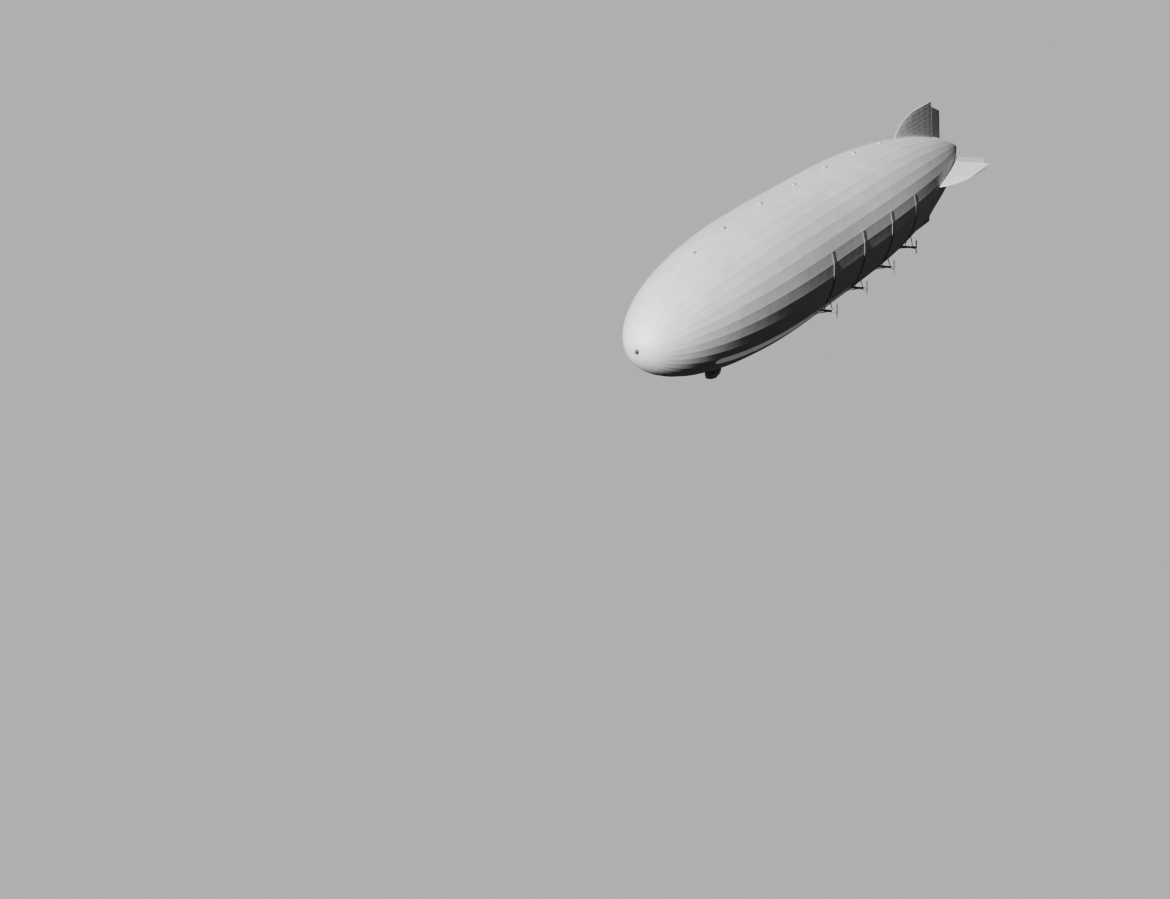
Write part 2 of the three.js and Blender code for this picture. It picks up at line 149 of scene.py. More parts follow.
def unit(vectors):
    return vectors / np.linalg.norm(vectors, axis=-1, keepdims=True)


# Points evenly spaced on a circle, as rows of two coordinates.
def circle(count, radius=1.0, first=0.0):
    turn = first + np.linspace(0, 2 * np.pi, count, endpoint=False)
    return np.stack([np.cos(turn), np.sin(turn)], -1) * radius


# A rounded square that reaches from -1 to 1: cosine and sine to a power below one.
def roundedSquare(count, power):
    ring = circle(count).T
    return np.sign(ring) * np.abs(ring) ** power


# A profile of distances along a line and radii about it, spun round that line.
def spun(start, direction, profile, sides, finish=0):
    axis = unit(direction)
    side = unit(np.cross(axis, upward if abs(axis[2]) < 0.9 else forward))
    along, radius = np.array(profile, float).T[:, :, None, None]
    ring = circle(sides) @ [side, np.cross(side, axis)]
    return patch(start + along * axis + radius * ring, finish=finish)


# A rectangle with its corners cut off.
def boxSection(width, height, bevel):
    x, y = width / 2, height / 2
    return np.array([(x, bevel - y), (x, y - bevel), (x - bevel, y), (bevel - x, y),
                     (-x, y - bevel), (-x, bevel - y), (bevel - x, -y), (x - bevel, -y)])


# A flat section carried along a path, its second axis as near to "up" as the path lets it be.
def carried(path, section, up=upward, closed=False, finish=0):
    ahead = np.roll(path, -1, 0) - np.roll(path, 1, 0) if closed else np.gradient(path, axis=0)
    side = unit(np.cross(ahead, up))
    top = unit(np.cross(side, ahead))
    points = path[:, None] + section[:, :1] * side[:, None] + section[:, 1:] * top[:, None]
    return patch(points, closed, finish)


# Low domes at many points at once: one template, turned to each point's normal. Its levels
# are shares of the radius and of the height.
def studs(centres, normals, radius, height, finish=0, sides=6):
    normals = unit(np.broadcast_to(normals, centres.shape).astype(float))
    side = unit(np.cross(normals, np.where(np.abs(normals[:, 2:]) < 0.9, upward, forward)))
    turns = np.stack([side, np.cross(normals, side), normals], 1)
    levels = [(1.0, -0.6), (1.0, 0.35), (0.6, 0.85)]
    dome = patch(np.stack([np.column_stack([circle(sides, share * radius), np.full(sides, rise * height)])
                           for share, rise in levels]))
    dome["points"][-1, 2] = height
    points = centres[:, None] + dome["points"] @ turns
    shift = np.arange(len(centres))[:, None, None] * len(dome["points"])
    quads, triangles = (np.concatenate(dome[kind] + shift) for kind in ("quads", "triangles"))
    return closedPatch(np.concatenate(points), quads, triangles, finish, {})


# Bolt heads on a circle in the plane of two unit vectors. They face along a third, or straight
# out of the circle where none is given.
def boltCircle(centre, across, up, radius, count, size, facing=None, first=0.0, finish=1):
    ring = circle(count, first=first) @ np.array([across, up], float)
    return studs(centre + radius * ring, ring if facing is None else facing, *size, finish)


def addObject(name, data):
    made = bpy.data.objects.new(name, data)
    bpy.context.scene.collection.objects.link(made)
    return made


# Joins patches into one object that rides on a body, at the model's scale.
def makePiece(name, body, patches, finishes, replaces=(), sharp=35):
    starts = np.cumsum([0] + [len(one["points"]) for one in patches])
    points = np.vstack([one["points"] for one in patches]) * ship["scale"]
    faces = [face for kind in ("quads", "triangles") for one, start in zip(patches, starts)
             for face in (one[kind] + start).tolist()]
    finish = np.concatenate([np.full(len(one[kind]), one["finish"])
                             for kind in ("quads", "triangles") for one in patches])
    mesh = bpy.data.meshes.new(name)
    mesh.from_pydata(points.tolist(), [], faces)
    mesh.polygons.foreach_set("material_index", finish.astype(np.int32))
    for field in sorted({field for one in patches for field in one["fields"]}):
        values = np.concatenate([one["fields"].get(field, np.zeros(len(one["points"])))
                                 for one in patches])
        mesh.attributes.new(field, "FLOAT", "POINT").data.foreach_set(
            "value", values.astype(np.float32))
    mesh.validate()
    mesh.polygons.foreach_set("use_smooth", np.ones(len(mesh.polygons), bool))
    if "crease" in mesh.attributes:
        markCreases(mesh)
    else:
        mesh.set_sharp_from_angle(angle=np.radians(sharp))
    for finishMaterial in finishes:
        mesh.materials.append(finishMaterial)
    piece = addObject(name, mesh)
    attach(piece, body)
    if replaces:
        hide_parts(*replaces)


# An edge is sharp where both of its ends have the crease field set.
def markCreases(mesh):
    crease = np.zeros(len(mesh.vertices), np.float32)
    mesh.attributes["crease"].data.foreach_get("value", crease)
    ends = np.zeros(len(mesh.edges) * 2, np.int32)
    mesh.edges.foreach_get("vertices", ends)
    sharp = (crease[ends.reshape(-1, 2)] > 0.5).all(1)
    mesh.attributes.new("sharp_edge", "BOOLEAN", "EDGE").data.foreach_set("value", sharp)


# A node with its inputs set or linked, by name or by number.
def node(tree, kind, inputs, **settings):
    made = tree.nodes.new(kind)
    for name, value in settings.items():
        setattr(made, name, value)
    for key, value in inputs.items():
        if isinstance(value, bpy.types.NodeSocket):
            tree.links.new(value, made.inputs[key])
        else:
            made.inputs[key].default_value = value
    return made


def calc(tree, operation, *values):
    return node(tree, "ShaderNodeMath", dict(enumerate(values)), operation=operation).outputs[0]


# Eases from 0 to 1 while a value goes from a low to a high one.
def mapRange(tree, value, low, high):
    inputs = {"Value": value, "From Min": low, "From Max": high}
    return node(tree, "ShaderNodeMapRange", inputs, interpolation_type="SMOOTHSTEP").outputs["Result"]


def noise(tree, vector, scale, detail=4.0, roughness=0.55):
    inputs = {"Vector": vector, "Scale": scale, "Detail": detail, "Roughness": roughness}
    return node(tree, "ShaderNodeTexNoise", inputs).outputs["Fac"]


def field(tree, name):
    return node(tree, "ShaderNodeAttribute", {}, attribute_name=name).outputs["Fac"]


def objectCoords(tree):
    return tree.nodes.new("ShaderNodeTexCoord").outputs["Object"]


def stretched(tree, vector, amounts):
    made = node(tree, "ShaderNodeVectorMath", {0: vector, 1: amounts}, operation="MULTIPLY")
    return made.outputs[0]


# A node group from names of inputs and outputs, and a function that fills it.
def makeGroup(name, inputs, outputs, fill):
    tree = bpy.data.node_groups.new(name, "ShaderNodeTree")
    for label in inputs:
        kind = "NodeSocketVector" if label == "Vector" else "NodeSocketFloat"
        tree.interface.new_socket(label, in_out="INPUT", socket_type=kind)
    for label in outputs:
        tree.interface.new_socket(label, in_out="OUTPUT", socket_type="NodeSocketFloat")
    start, end = tree.nodes.new("NodeGroupInput"), tree.nodes.new("NodeGroupOutput")
    for label, socket in fill(tree, start.outputs).items():
        tree.links.new(socket, end.inputs[label])
    return tree


def useGroup(tree, group, inputs):
    return node(tree, "ShaderNodeGroup", inputs, node_tree=group).outputs


# Cloth panels: a random tone for each panel, and masks for the seams at their edges.
def fillPanels(tree, given):
    along, across = given["Along"], given["Across"]
    cell = node(tree, "ShaderNodeCombineXYZ", {
        0: calc(tree, "FLOOR", along), 1: calc(tree, "FLOOR", across), 2: given["Side"]})
    tone = node(tree, "ShaderNodeTexWhiteNoise", {"Vector": cell.outputs[0]},
                noise_dimensions="3D").outputs["Value"]
    masks = []
    for value, width in ((along, given["Along Width"]), (across, given["Across Width"])):
        edge = calc(tree, "PINGPONG", value, 0.5)
        masks.append(calc(tree, "SUBTRACT", 1.0, mapRange(tree, edge, 0.0, width)))
    return {"Tone": tone, "Ring": masks[0], "Seam": masks[1]}


# Clouded tone and fine grain from two sizes of noise.
def fillMottle(tree, given):
    cloud = noise(tree, given["Vector"], given["Scale"], 5.0, 0.6)
    fine = noise(tree, given["Vector"], calc(tree, "MULTIPLY", given["Scale"], 16.0), 3.0, 0.6)
    return {"Cloud": cloud, "Fine": fine}


# Bare edges: where the surface turns within a short way, broken up by noise.
def fillWear(tree, given):
    pointy = node(tree, "ShaderNodeNewGeometry", {}).outputs["Pointiness"]
    edge = mapRange(tree, pointy, 0.5, 0.56)
    broken = mapRange(tree, noise(tree, given["Vector"], given["Scale"], 4.0), 0.42, 0.62)
    return {"Worn": calc(tree, "MULTIPLY", edge, broken)}


panelGroup = makeGroup("clothPanels", ("Along", "Across", "Side", "Along Width", "Across Width"),
                       ("Tone", "Ring", "Seam"), fillPanels)
mottleGroup = makeGroup("mottle", ("Vector", "Scale"), ("Cloud", "Fine"), fillMottle)
wearGroup = makeGroup("edgeWear", ("Vector", "Scale"), ("Worn",), fillWear)


# A material whose shader's fixed values are set on its own sockets.
def newMaterial(name, **fixed):
    material = bpy.data.materials.new(name)
    material.use_nodes = True
    tree = material.node_tree
    for socket, value in fixed.items():
        tree.nodes["Principled BSDF"].inputs[socket.replace("_", " ")].default_value = value
    return material, tree, objectCoords(tree)


# Joins the worked out colour, roughness and normal to a material's shader.
def joined(material, colour, rough=None, normal=None):
    shader = material.node_tree.nodes["Principled BSDF"]
    for label, socket in (("Base Color", colour), ("Roughness", rough), ("Normal", normal)):
        if socket:
            material.node_tree.links.new(socket, shader.inputs[label])
    return material


def mixColour(tree, factor, low, high):
    made = node(tree, "ShaderNodeMix", {0: factor, 6: low, 7: high}, data_type="RGBA")
    return made.outputs[2]


def bump(tree, height, distance):
    return node(tree, "ShaderNodeBump", {"Height": height, "Distance": distance}).outputs["Normal"]


# A sum of values, each weighted, about a middle.
def weighted(tree, middle, *terms):
    total = middle
    for value, weight in terms:
        total = calc(tree, "MULTIPLY_ADD", value, weight, total)
    return total


# A value that runs from 0 to 1 becomes one that swings about 0.
def swing(tree, value):
    return calc(tree, "SUBTRACT", value, 0.5)


def grey(level, warmth=0.0):
    return (level * (1 + warmth), level, level * (1 - warmth), 1.0)


# Silver-doped cloth: panels of slightly different tone, lighter taped seams, soft clouds,
# streaks along the ship, and soil and, on the fins, painted shade where the field says so.
clothLook = {
    "dark": 0.43, "light": 0.74, "roughness": 0.68, "metallic": 0.05,
    "ringWidth": 0.012, "seamWidth": 0.035, "seamHeight": 0.0012, "grain": 0.0004,
}


def silverCloth(name, look):
    material, tree, coords = newMaterial(name, Metallic=look["metallic"])
    side = calc(tree, "SIGN", node(tree, "ShaderNodeSeparateXYZ", {0: coords}).outputs["Y"])
    panels = useGroup(tree, panelGroup, {
        "Along": field(tree, "clothAlong"), "Across": field(tree, "clothAcross"), "Side": side,
        "Along Width": look["ringWidth"], "Across Width": look["seamWidth"]})
    mottle = useGroup(tree, mottleGroup, {"Vector": coords, "Scale": 1.1})
    streaks = noise(tree, stretched(tree, coords, (0.15, 3.0, 3.0)), 2.2, 5.0, 0.65)
    ring, seam, soil = panels["Ring"], panels["Seam"], field(tree, "soil")
    fine = swing(tree, mottle["Fine"])
    # The field darkens and roughens the cloth: soil, and on the fins painted shade towards the hinge.
    tone = weighted(tree, 0.5, (swing(tree, panels["Tone"]), 0.1), (swing(tree, mottle["Cloud"]), 0.5),
                    (swing(tree, streaks), 0.55), (fine, 0.25), (seam, 0.09), (ring, 0.06),
                    (soil, -0.75))
    height = weighted(tree, 0.0, (seam, look["seamHeight"]), (ring, look["seamHeight"]),
                      (mottle["Fine"], look["grain"]), (streaks, look["seamHeight"]))
    return joined(material, mixColour(tree, tone, grey(look["dark"]), grey(look["light"], 0.01)),
                  weighted(tree, look["roughness"], (fine, 0.16), (seam, -0.06), (soil, 0.2)),
                  bump(tree, height, 1.0))


# Metal: grain and clouds in its tone, and bare edges.
def metalFinish(name, level, metallic, roughness, scale, worn=0.6):
    material, tree, coords = newMaterial(name, Metallic=metallic)
    mottle = useGroup(tree, mottleGroup, {"Vector": coords, "Scale": scale})
    bare = useGroup(tree, wearGroup, {"Vector": coords, "Scale": scale * 6})["Worn"]
    cloud = swing(tree, mottle["Cloud"])
    tone = weighted(tree, 0.35, (cloud, 0.9), (swing(tree, mottle["Fine"]), 0.5), (bare, worn))
    return joined(material, mixColour(tree, tone, grey(level * 0.6), grey(min(1, level * 1.5))),
                  weighted(tree, roughness, (cloud, 0.3), (mottle["Fine"], 0.08), (bare, -0.12)),
                  bump(tree, mottle["Fine"], 0.0003))


# Varnished wood: dark and light layers from the field, with grain drawn out along the blade.
def varnishedWood(name, dark, light, roughness):
    material, tree, coords = newMaterial(name, Coat_Weight=0.6, Coat_Roughness=0.15)
    layer = calc(tree, "PINGPONG", field(tree, "layer"), 1.0)
    grain = noise(tree, stretched(tree, coords, (30.0, 30.0, 4.0)), 3.0, 5.0, 0.6)
    fine = noise(tree, stretched(tree, coords, (90.0, 90.0, 9.0)), 4.0, 3.0, 0.6)
    tone = weighted(tree, 0.1, (mapRange(tree, layer, 0.35, 0.65), 0.4), (grain, 0.45), (fine, 0.25))
    return joined(material, mixColour(tree, tone, dark, light),
                  weighted(tree, roughness, (grain, 0.15)), bump(tree, fine, 0.0003))


# Window glass: clear, a little tinted, with faint patches of dirt.
def windowGlass(name):
    material, tree, coords = newMaterial(name, Transmission_Weight=0.9, IOR=1.48)
    dirt = mapRange(tree, noise(tree, coords, 14.0), 0.45, 0.8)
    return joined(material, mixColour(tree, dirt, (0.32, 0.36, 0.37, 1), (0.2, 0.2, 0.19, 1)),
                  weighted(tree, 0.04, (dirt, 0.3)))


# Bright plates: brushed along the ship, duller where the field says that they fade.
def platedMetal(name, bright, faded):
    material, tree, coords = newMaterial(name, Metallic=0.9)
    brushed = noise(tree, stretched(tree, coords, (1.0, 40.0, 40.0)), 4.0, 4.0, 0.6)
    cloud = noise(tree, coords, 1.6, 4.0, 0.6)
    fade = field(tree, "fade")
    tone = weighted(tree, 0.0, (fade, 0.85), (swing(tree, cloud), 0.35), (swing(tree, brushed), 0.2))
    return joined(material, mixColour(tree, tone, grey(bright), grey(faded)),
                  weighted(tree, 0.32, (fade, 0.15), (brushed, 0.12)), bump(tree, brushed, 0.0004))


hullCloth = silverCloth("hull_cloth", clothLook)
finCloth = silverCloth("fin_cloth", dict(clothLook, dark=0.5, light=0.8))
flapCloth = silverCloth("flap_cloth", dict(clothLook, dark=0.34, light=0.6))
bareAluminium = metalFinish("bare_aluminium", 0.55, 0.9, 0.35, 4.0)
silverPaint = metalFinish("silver_paint", 0.5, 0.4, 0.45, 4.0, 0.3)
hoodPaint = metalFinish("hood_paint", 0.42, 0.1, 0.65, 4.0, 0.3)
brightPlate = platedMetal("bright_plate", 0.95, 0.5)
condenserMetal = metalFinish("condenser_metal", 0.23, 0.1, 0.6, 6.0, 0.4)
gearMetal = metalFinish("gear_metal", 0.3, 0.6, 0.42, 9.0, 0.5)
dullMetal = metalFinish("dull_metal", 0.2, 0.7, 0.5, 8.0)
paintedStrut = metalFinish("painted_strut", 0.42, 0.3, 0.5, 8.0, 0.3)
darkIron = metalFinish("dark_iron", 0.08, 0.7, 0.55, 12.0, 0.5)
carPaint = metalFinish("car_paint", 0.3, 0.4, 0.45, 6.0, 0.35)
bladeWood = varnishedWood("blade_wood", (0.06, 0.026, 0.012, 1), (0.22, 0.11, 0.05, 1), 0.28)
paneGlass = windowGlass("pane_glass")
print("materials made")

# Hull cover
hull = {
    "front": 1.0, "back": 235.0,
    "rowStep": 0.72,  # along the skin, between two rows of points
    "facetSteps": 6,  # points across a facet
    "bay": 5.625,  # between two rings
    "firstRing": 10.0,
    "sag": 0.02,  # how far the cloth sinks in the middle of a panel
    "wall": 0.1,
    "insideStep": 6.0,
    "soot": 0.6, "sootAngle": 127.0, "sootWidth": 4.5, "sootLength": 9.0,
}
powerStations = [77.5, 100.0, 122.5, 145.0]
columnDegrees = np.arange(ship["sides"] * hull["facetSteps"]) * facet / hull["facetSteps"]


# Stations that lie evenly along the skin, where the sum of the steps' lengths grows evenly.
def skinStations(start, end, step):
    fine = np.linspace(start, end, 4000)
    along = np.concatenate([[0], np.cumsum(np.hypot(np.diff(fine), np.diff(hullRadius(fine))))])
    return np.interp(np.linspace(0, along[-1], round(along[-1] / step)), along, fine)


# Cloth sinks as a parabola across a facet and as a squared sine between two rings.
def clothSag(station, degrees):
    across = 1 - (np.mod(degrees + facet / 2, facet) / facet * 2 - 1) ** 2
    along = 0.3 + 0.7 * np.sin(np.pi * (station - hull["firstRing"]) / hull["bay"]) ** 2
    return hull["sag"] * across * along * hullRadius(station) / ship["radius"]


# Soot trails aft of each engine's place and fades; the keel is a little soiled all along.
def hullSoil(station, fromTop):
    soil = 0.12 * smoothStep(150, 175, fromTop)
    for power in powerStations:
        behind = np.clip(station - power, 0, None)
        trail = np.exp(-behind / hull["sootLength"]) * (station > power)
        across = (fromTop - hull["sootAngle"]) / hull["sootWidth"]
        soil = soil + hull["soot"] * trail * np.exp(-across ** 2)
    return soil


# Cloth fields on a grid of stations and degrees: bays along, facets from the top down.
def clothFields(station, degrees):
    fromTop = 180 - np.abs(np.mod(degrees, 360) - 180)
    return {"clothAlong": (station - hull["firstRing"]) / hull["bay"],
            "clothAcross": (fromTop + facet / 2) / facet, "soil": hullSoil(station, fromTop)}


def makeHullSkin():
    outside = skinStations(hull["front"], hull["back"], hull["rowStep"])[:, None]
    inside = np.arange(hull["back"], hull["front"], -hull["insideStep"])[:, None]
    outer = facetDistance(outside, columnDegrees) - clothSag(outside, columnDegrees)
    inner = facetDistance(inside, columnDegrees) - hull["wall"] * np.hypot(1, hullSlope(inside))
    station = np.vstack([outside, inside])
    fields = clothFields(station, columnDegrees)
    fields["crease"] = np.isclose(columnDegrees % facet, facet / 2)
    skin = patch(polar(station, np.vstack([outer, inner]), columnDegrees), closed=True, fields=fields)
    makePiece("hull_skin", "hull", [skin], [hullCloth], ["envelope"])


makeHullSkin()
print("hull skin made")

# Vent hoods on the top facet
hoods = {
    "stations": (31.5, 48.5, 71.0, 93.5, 116.0, 138.5, 161.0), "long": 1.7, "wide": 1.2,
    "flange": 1.14, "lip": 0.03, "slats": 4,
}


# Height of the top facet, which lies flat.
def roofHeight(station):
    return facetDistance(station, 0.0)


# A rounded rectangle over a point on the roof, by a lift. It follows the roof's slope by a share.
def hoodRing(station, share, lift, follows=1.0):
    aft, port = roundedSquare(44, 0.5) * share * [[hoods["long"] / 2], [hoods["wide"] / 2]]
    roof = roofHeight(station + aft) * follows + roofHeight(station) * (1 - follows)
    return place(station + aft, port, roof + lift)


def ventHood(station):
    levels = [(1.0, -0.1, 1), (1.0, 0.05, 1), (0.985, 0.2, 0.8), (0.95, 0.32, 0.5),
              (0.88, 0.41, 0.2), (0.76, 0.465, 0), (0.6, 0.49, 0), (0.35, 0.5, 0)]
    body = patch(np.stack([hoodRing(station, *level) for level in levels]))
    wide, lip, low = hoods["flange"], hoods["lip"], -0.05
    corners = ((wide, low), (wide, lip), (0.98, lip), (0.98, low))
    flange = patch(np.stack([hoodRing(station, *corner) for corner in corners]), closed=True)
    bolts = studs(hoodRing(station, 1.07, lip)[::2], upward, 0.025, 0.02)
    back = station + hoods["long"] / 2 + 0.005
    slats = [carried(place(back, np.linspace(-0.36, 0.36, 5), roofHeight(station) + height),
                     boxSection(0.05, 0.03, 0.006), up=(-0.5, 0, 1), finish=1)
             for height in np.linspace(0.08, 0.32, hoods["slats"])]
    return [body, flange, bolts, *slats]


def makeVentHoods():
    patches = [one for station in hoods["stations"] for one in ventHood(station)]
    makePiece("vent_hoods", "hull", patches, [hoodPaint, dullMetal])


makeVentHoods()
print("vent hoods made")

# Bright plates along one facet low on each side, rounded in front
band = {
    "front": 20.6, "back": 98.0, "fadeFrom": 50.0, "from": 125.3, "to": 134.7, "proud": 0.04,
    "nose": 2.4, "step": 0.45, "plate": 5.625, "joint": 0.05, "notch": 37.6, "rivetStep": 0.75,
}


# The front end narrows as a circle: half width times the root of 1 - (1 - share)^2.
def bandHalf(station):
    share = np.clip((station - band["front"]) / band["nose"], 0, 1)
    half = (band["to"] - band["from"]) / 2 * np.sqrt(1 - (1 - share) ** 2)
    return np.maximum(half, 0.15)


def keelBand(sign):
    station = np.arange(band["front"], band["back"], band["step"])[:, None]
    half, middle = bandHalf(station), (band["from"] + band["to"]) / 2
    notch = np.exp(-((station - band["notch"]) / 0.35) ** 4)
    across = np.linspace(-1, 1, 11)
    upper, lower = middle - half, middle + half * (1 - 0.45 * notch)
    degrees = lower + (upper - lower) * (across + 1) / 2
    near = np.abs(np.mod(station - band["front"], band["plate"]) - band["plate"] / 2)
    joint = smoothStep(band["plate"] / 2 - 2.5 * band["joint"], band["plate"] / 2, near)
    edge = 1 - np.abs(across) ** 8
    lift = band["proud"] * (0.45 + 0.55 * edge * (1 - 0.6 * joint))
    under = onCover(station, degrees, -0.03, sign)[:, ::-1]
    plates = patch(np.concatenate([onCover(station, degrees, lift, sign), under], 1),
                   fields={"fade": smoothStep(band["fadeFrom"], band["back"], station)})
    spots = np.arange(band["front"] + 1.5, band["back"], band["rivetStep"])
    angles = [middle + edgeSign * 0.9 * bandHalf(spots) for edgeSign in (-1, 1)]
    return [plates, *(studs(onCover(spots, angle, 0.035, sign), outwards(sign * angle), 0.035, 0.02,
                            finish=1, sides=5) for angle in angles)]


def makeKeelBands():
    for side, sign in flanks.items():
        makePiece(f"keel_band_{side}", "hull", keelBand(sign), [brightPlate, bareAluminium])


makeKeelBands()
print("keel bands made")

# Nose shell, its ribs, the mooring spindle and the tail's fairing
nose = {"flat": 0.65, "lap": 1.3, "proud": 0.012, "ribs": 18, "ribEnd": 1.25}
tail = {"origin": 234.0, "bands": (0.55, 1.9, 3.2)}


def makeNose():
    station = np.array([0.0, 0.03, 0.07, 0.13, 0.2, 0.3, 0.42, 0.55, 0.7, 0.85, 1.0, 1.15,
                        nose["lap"]])[:, None]
    flat = smoothStep(0.2, 1.0, station)
    distance = facetDistance(station, columnDegrees) * flat + hullRadius(station) * (1 - flat)
    distance = np.maximum(distance + nose["proud"], nose["flat"])
    outside = polar(station, distance, columnDegrees)
    inside = polar(station + 0.04, np.maximum(distance - 0.05, 0.02), columnDegrees)[::-1]
    shell = patch(np.vstack([outside, inside]),
                  fields=clothFields(np.vstack([station, station]), columnDegrees))
    along = np.linspace(0.03, nose["ribEnd"], 14)
    ribs = [carried(polar(along, np.maximum(hullRadius(along), nose["flat"]) + 0.015, angle),
                    boxSection(0.05, 0.03, 0.008), up=outwards(angle), finish=1)
            for angle in np.arange(nose["ribs"]) * 360 / nose["ribs"] + facet / 2]
    around = np.arange(72) * 5.0 + 2.5
    rivets = studs(onCover(0.92, around, nose["proud"]), outwards(around), 0.022, 0.014, finish=1)
    makePiece("nose_shell", "hull", [shell, *ribs, rivets], [hullCloth, bareAluminium],
              ["nose_cap"], sharp=40)


# A bolted foot, a cone, a collar and the ball that a mast's cup takes.
def makeSpindle():
    turn = np.linspace(0.62, np.pi - 0.5, 12)
    ball = [(0.67 + 0.34 * (1 - np.cos(a)) * 0.5, 0.335 * np.sin(a)) for a in turn]
    foot = [(0.004, 0.6), (0.07, 0.6), (0.1, 0.57), (0.1, 0.43)]
    cone = [(0.17, 0.385), (0.28, 0.32), (0.43, 0.27), (0.51, 0.23)]
    collar = [(0.51, 0.285), (0.57, 0.3), (0.63, 0.285), (0.66, 0.2)]
    tip = place(0, 0, 0)
    body = spun(tip, forward, [*foot, *cone, *collar, *ball, (1.0, 0.16)], 32)
    bolts = boltCircle(tip + 0.07 * forward, upward, portward, 0.51, 10, (0.04, 0.03), forward, finish=0)
    makePiece("nose_spindle", "hull", [body, bolts], [dullMetal], ["mooring_spindle"])


# Metal fairing on the tail, lapped over the cover, with three bands round it.
def makeTailFairing():
    start = place(tail["origin"], 0, 0)
    along = np.concatenate([[0.5, 0.55], np.linspace(0.7, 5.0, 14), [5.15, 5.25]])
    distance = np.maximum(hullRadius(tail["origin"] + along) + 0.02, 0.06)
    patches = [spun(start, -forward, [(0.45, 0.5), *zip(along, distance)], 72)]
    for at in tail["bands"]:
        back = at + 0.08
        thin, thick = (hullRadius(tail["origin"] + np.array([at, back])) + proud for proud in (0, 0.045))
        profile = [(at, thin[0]), (at, thick[0]), (back, thick[1]), (back, thin[1])]
        patches.append(spun(start, -forward, profile, 72, finish=1))
    around, spot = np.arange(60) * 6.0, tail["origin"] + 0.85
    patches.append(studs(polar(spot, hullRadius(spot) + 0.022, around), outwards(around), 0.02, 0.014,
                         finish=1))
    makePiece("tail_fairing", "hull", patches, [silverPaint, bareAluminium])


makeNose()
makeSpindle()
makeTailFairing()
print("nose and tail made")

# Fins and the surfaces hinged behind them, each drawn as the upper one
fin = {
    "front": 174.5, "back": 210.0, "root": 16.6, "tip": 22.9, "inner": 8.6, "sweep": 17.0,
    "curve": 1.6, "halfRoot": 0.95, "halfTip": 0.3, "rounding": 0.24, "sag": 0.035,
    # The last entry is painted shade: how much each kind of fin darkens towards its hinge, most on the
    # upright fins.
    "spar": 5.625, "rib": 1.6, "fillet": 0.2, "soiled": {"rudder": 0.5, "elevator": 0.08},
}
flap = {
    "inner": 9.75, "outer": 20.5, "innerBack": 220.0, "outerBack": 219.0, "halfEdge": 0.05,
    "rakeStart": 0.65, "rakeEnd": 17.7, "hullGap": 0.42, "rounding": 0.16, "sag": 0.03, "rib": 1.35,
}
arm = {"half": 0.14, "height": 0.4, "boss": 0.2}
surfaces = {"upper": (0, "rudder"), "port": (90, "elevator"), "lower": (180, "rudder"),
            "starboard": (270, "elevator")}


def finHalf(distance):
    share = (distance - fin["inner"]) / (fin["tip"] - fin["inner"])
    return fin["halfRoot"] + (fin["halfTip"] - fin["halfRoot"]) * share


# The leading edge rounds over as a superellipse towards the tip.
def finFront(distance):
    up = np.clip((distance - fin["root"]) / (fin["tip"] - fin["root"]), 0, 1)
    return fin["front"] + fin["sweep"] * (1 - (1 - up ** fin["curve"]) ** (1 / fin["curve"]))


# Half thickness along the chord: an ellipse over the first 0.35, then a slow narrowing.
def finShare(along):
    front = np.sqrt(np.clip(1 - (1 - np.clip(along / 0.35, 0, 1)) ** 2, 0, 1))
    behind = 1 - 0.38 * np.clip((along - 0.35) / 0.65, 0, 1) ** 1.9
    return np.where(along < 0.35, front, behind)


# Rounds an edge over as a quarter circle within its own width.
def edgeRound(fromEdge, width):
    return np.sqrt(np.clip(1 - (1 - np.clip(fromEdge / width, 0, 1)) ** 2, 0.02, 1))


edgeShare = float(finShare(np.array(1.0)))
hingeStation = fin["back"] + 0.06 + float(finHalf(flap["inner"])) * edgeShare


# Rows from the hull to the tip and columns round the chord, with low cloth between its ribs.
# It is lightly soiled all over and carries painted shade that darkens it towards the hinge.
def finSurface(soiled):
    along = np.concatenate([np.linspace(1, 0, 46) ** 1.5, np.linspace(0, 1, 46)[1:] ** 1.5])[None]
    side = np.concatenate([np.ones(46), -np.ones(45)])[None]
    up = (1 - (1 - np.linspace(0, 1, 52)) ** 1.7)[:, None]
    station = finFront(fin["root"]) + along * (fin["back"] - fin["front"]) + 0 * up
    for _ in range(5):
        low = hullRadius(station) - 0.15
        distance = low + (fin["tip"] - low) * up
        station = finFront(distance) * (1 - along) + fin["back"] * along
    low = hullRadius(station)
    bays = (station - hull["firstRing"]) / fin["spar"]
    ribs = (distance - fin["root"]) / fin["rib"]
    hollow = np.sin(np.pi * bays) ** 2 * np.sin(np.pi * ribs) ** 2
    inside = smoothStep(0, 0.08, along) * smoothStep(0, 0.6, fin["tip"] - distance)
    half = finHalf(distance) * finShare(along) - fin["sag"] * hollow * inside
    half = half * edgeRound(fin["tip"] - distance, fin["rounding"])
    half = half + fin["fillet"] * np.exp(-np.clip(distance - low, 0, None) / 0.22) * finShare(along)
    # Light soil all over, plus painted shade that darkens the cloth towards the hinge.
    soil = 0.05 + soiled * smoothStep(0.2, 1.0, along)
    return patch(place(station, side * half, distance),
                 fields={"clothAlong": bays, "clothAcross": ribs, "soil": soil})


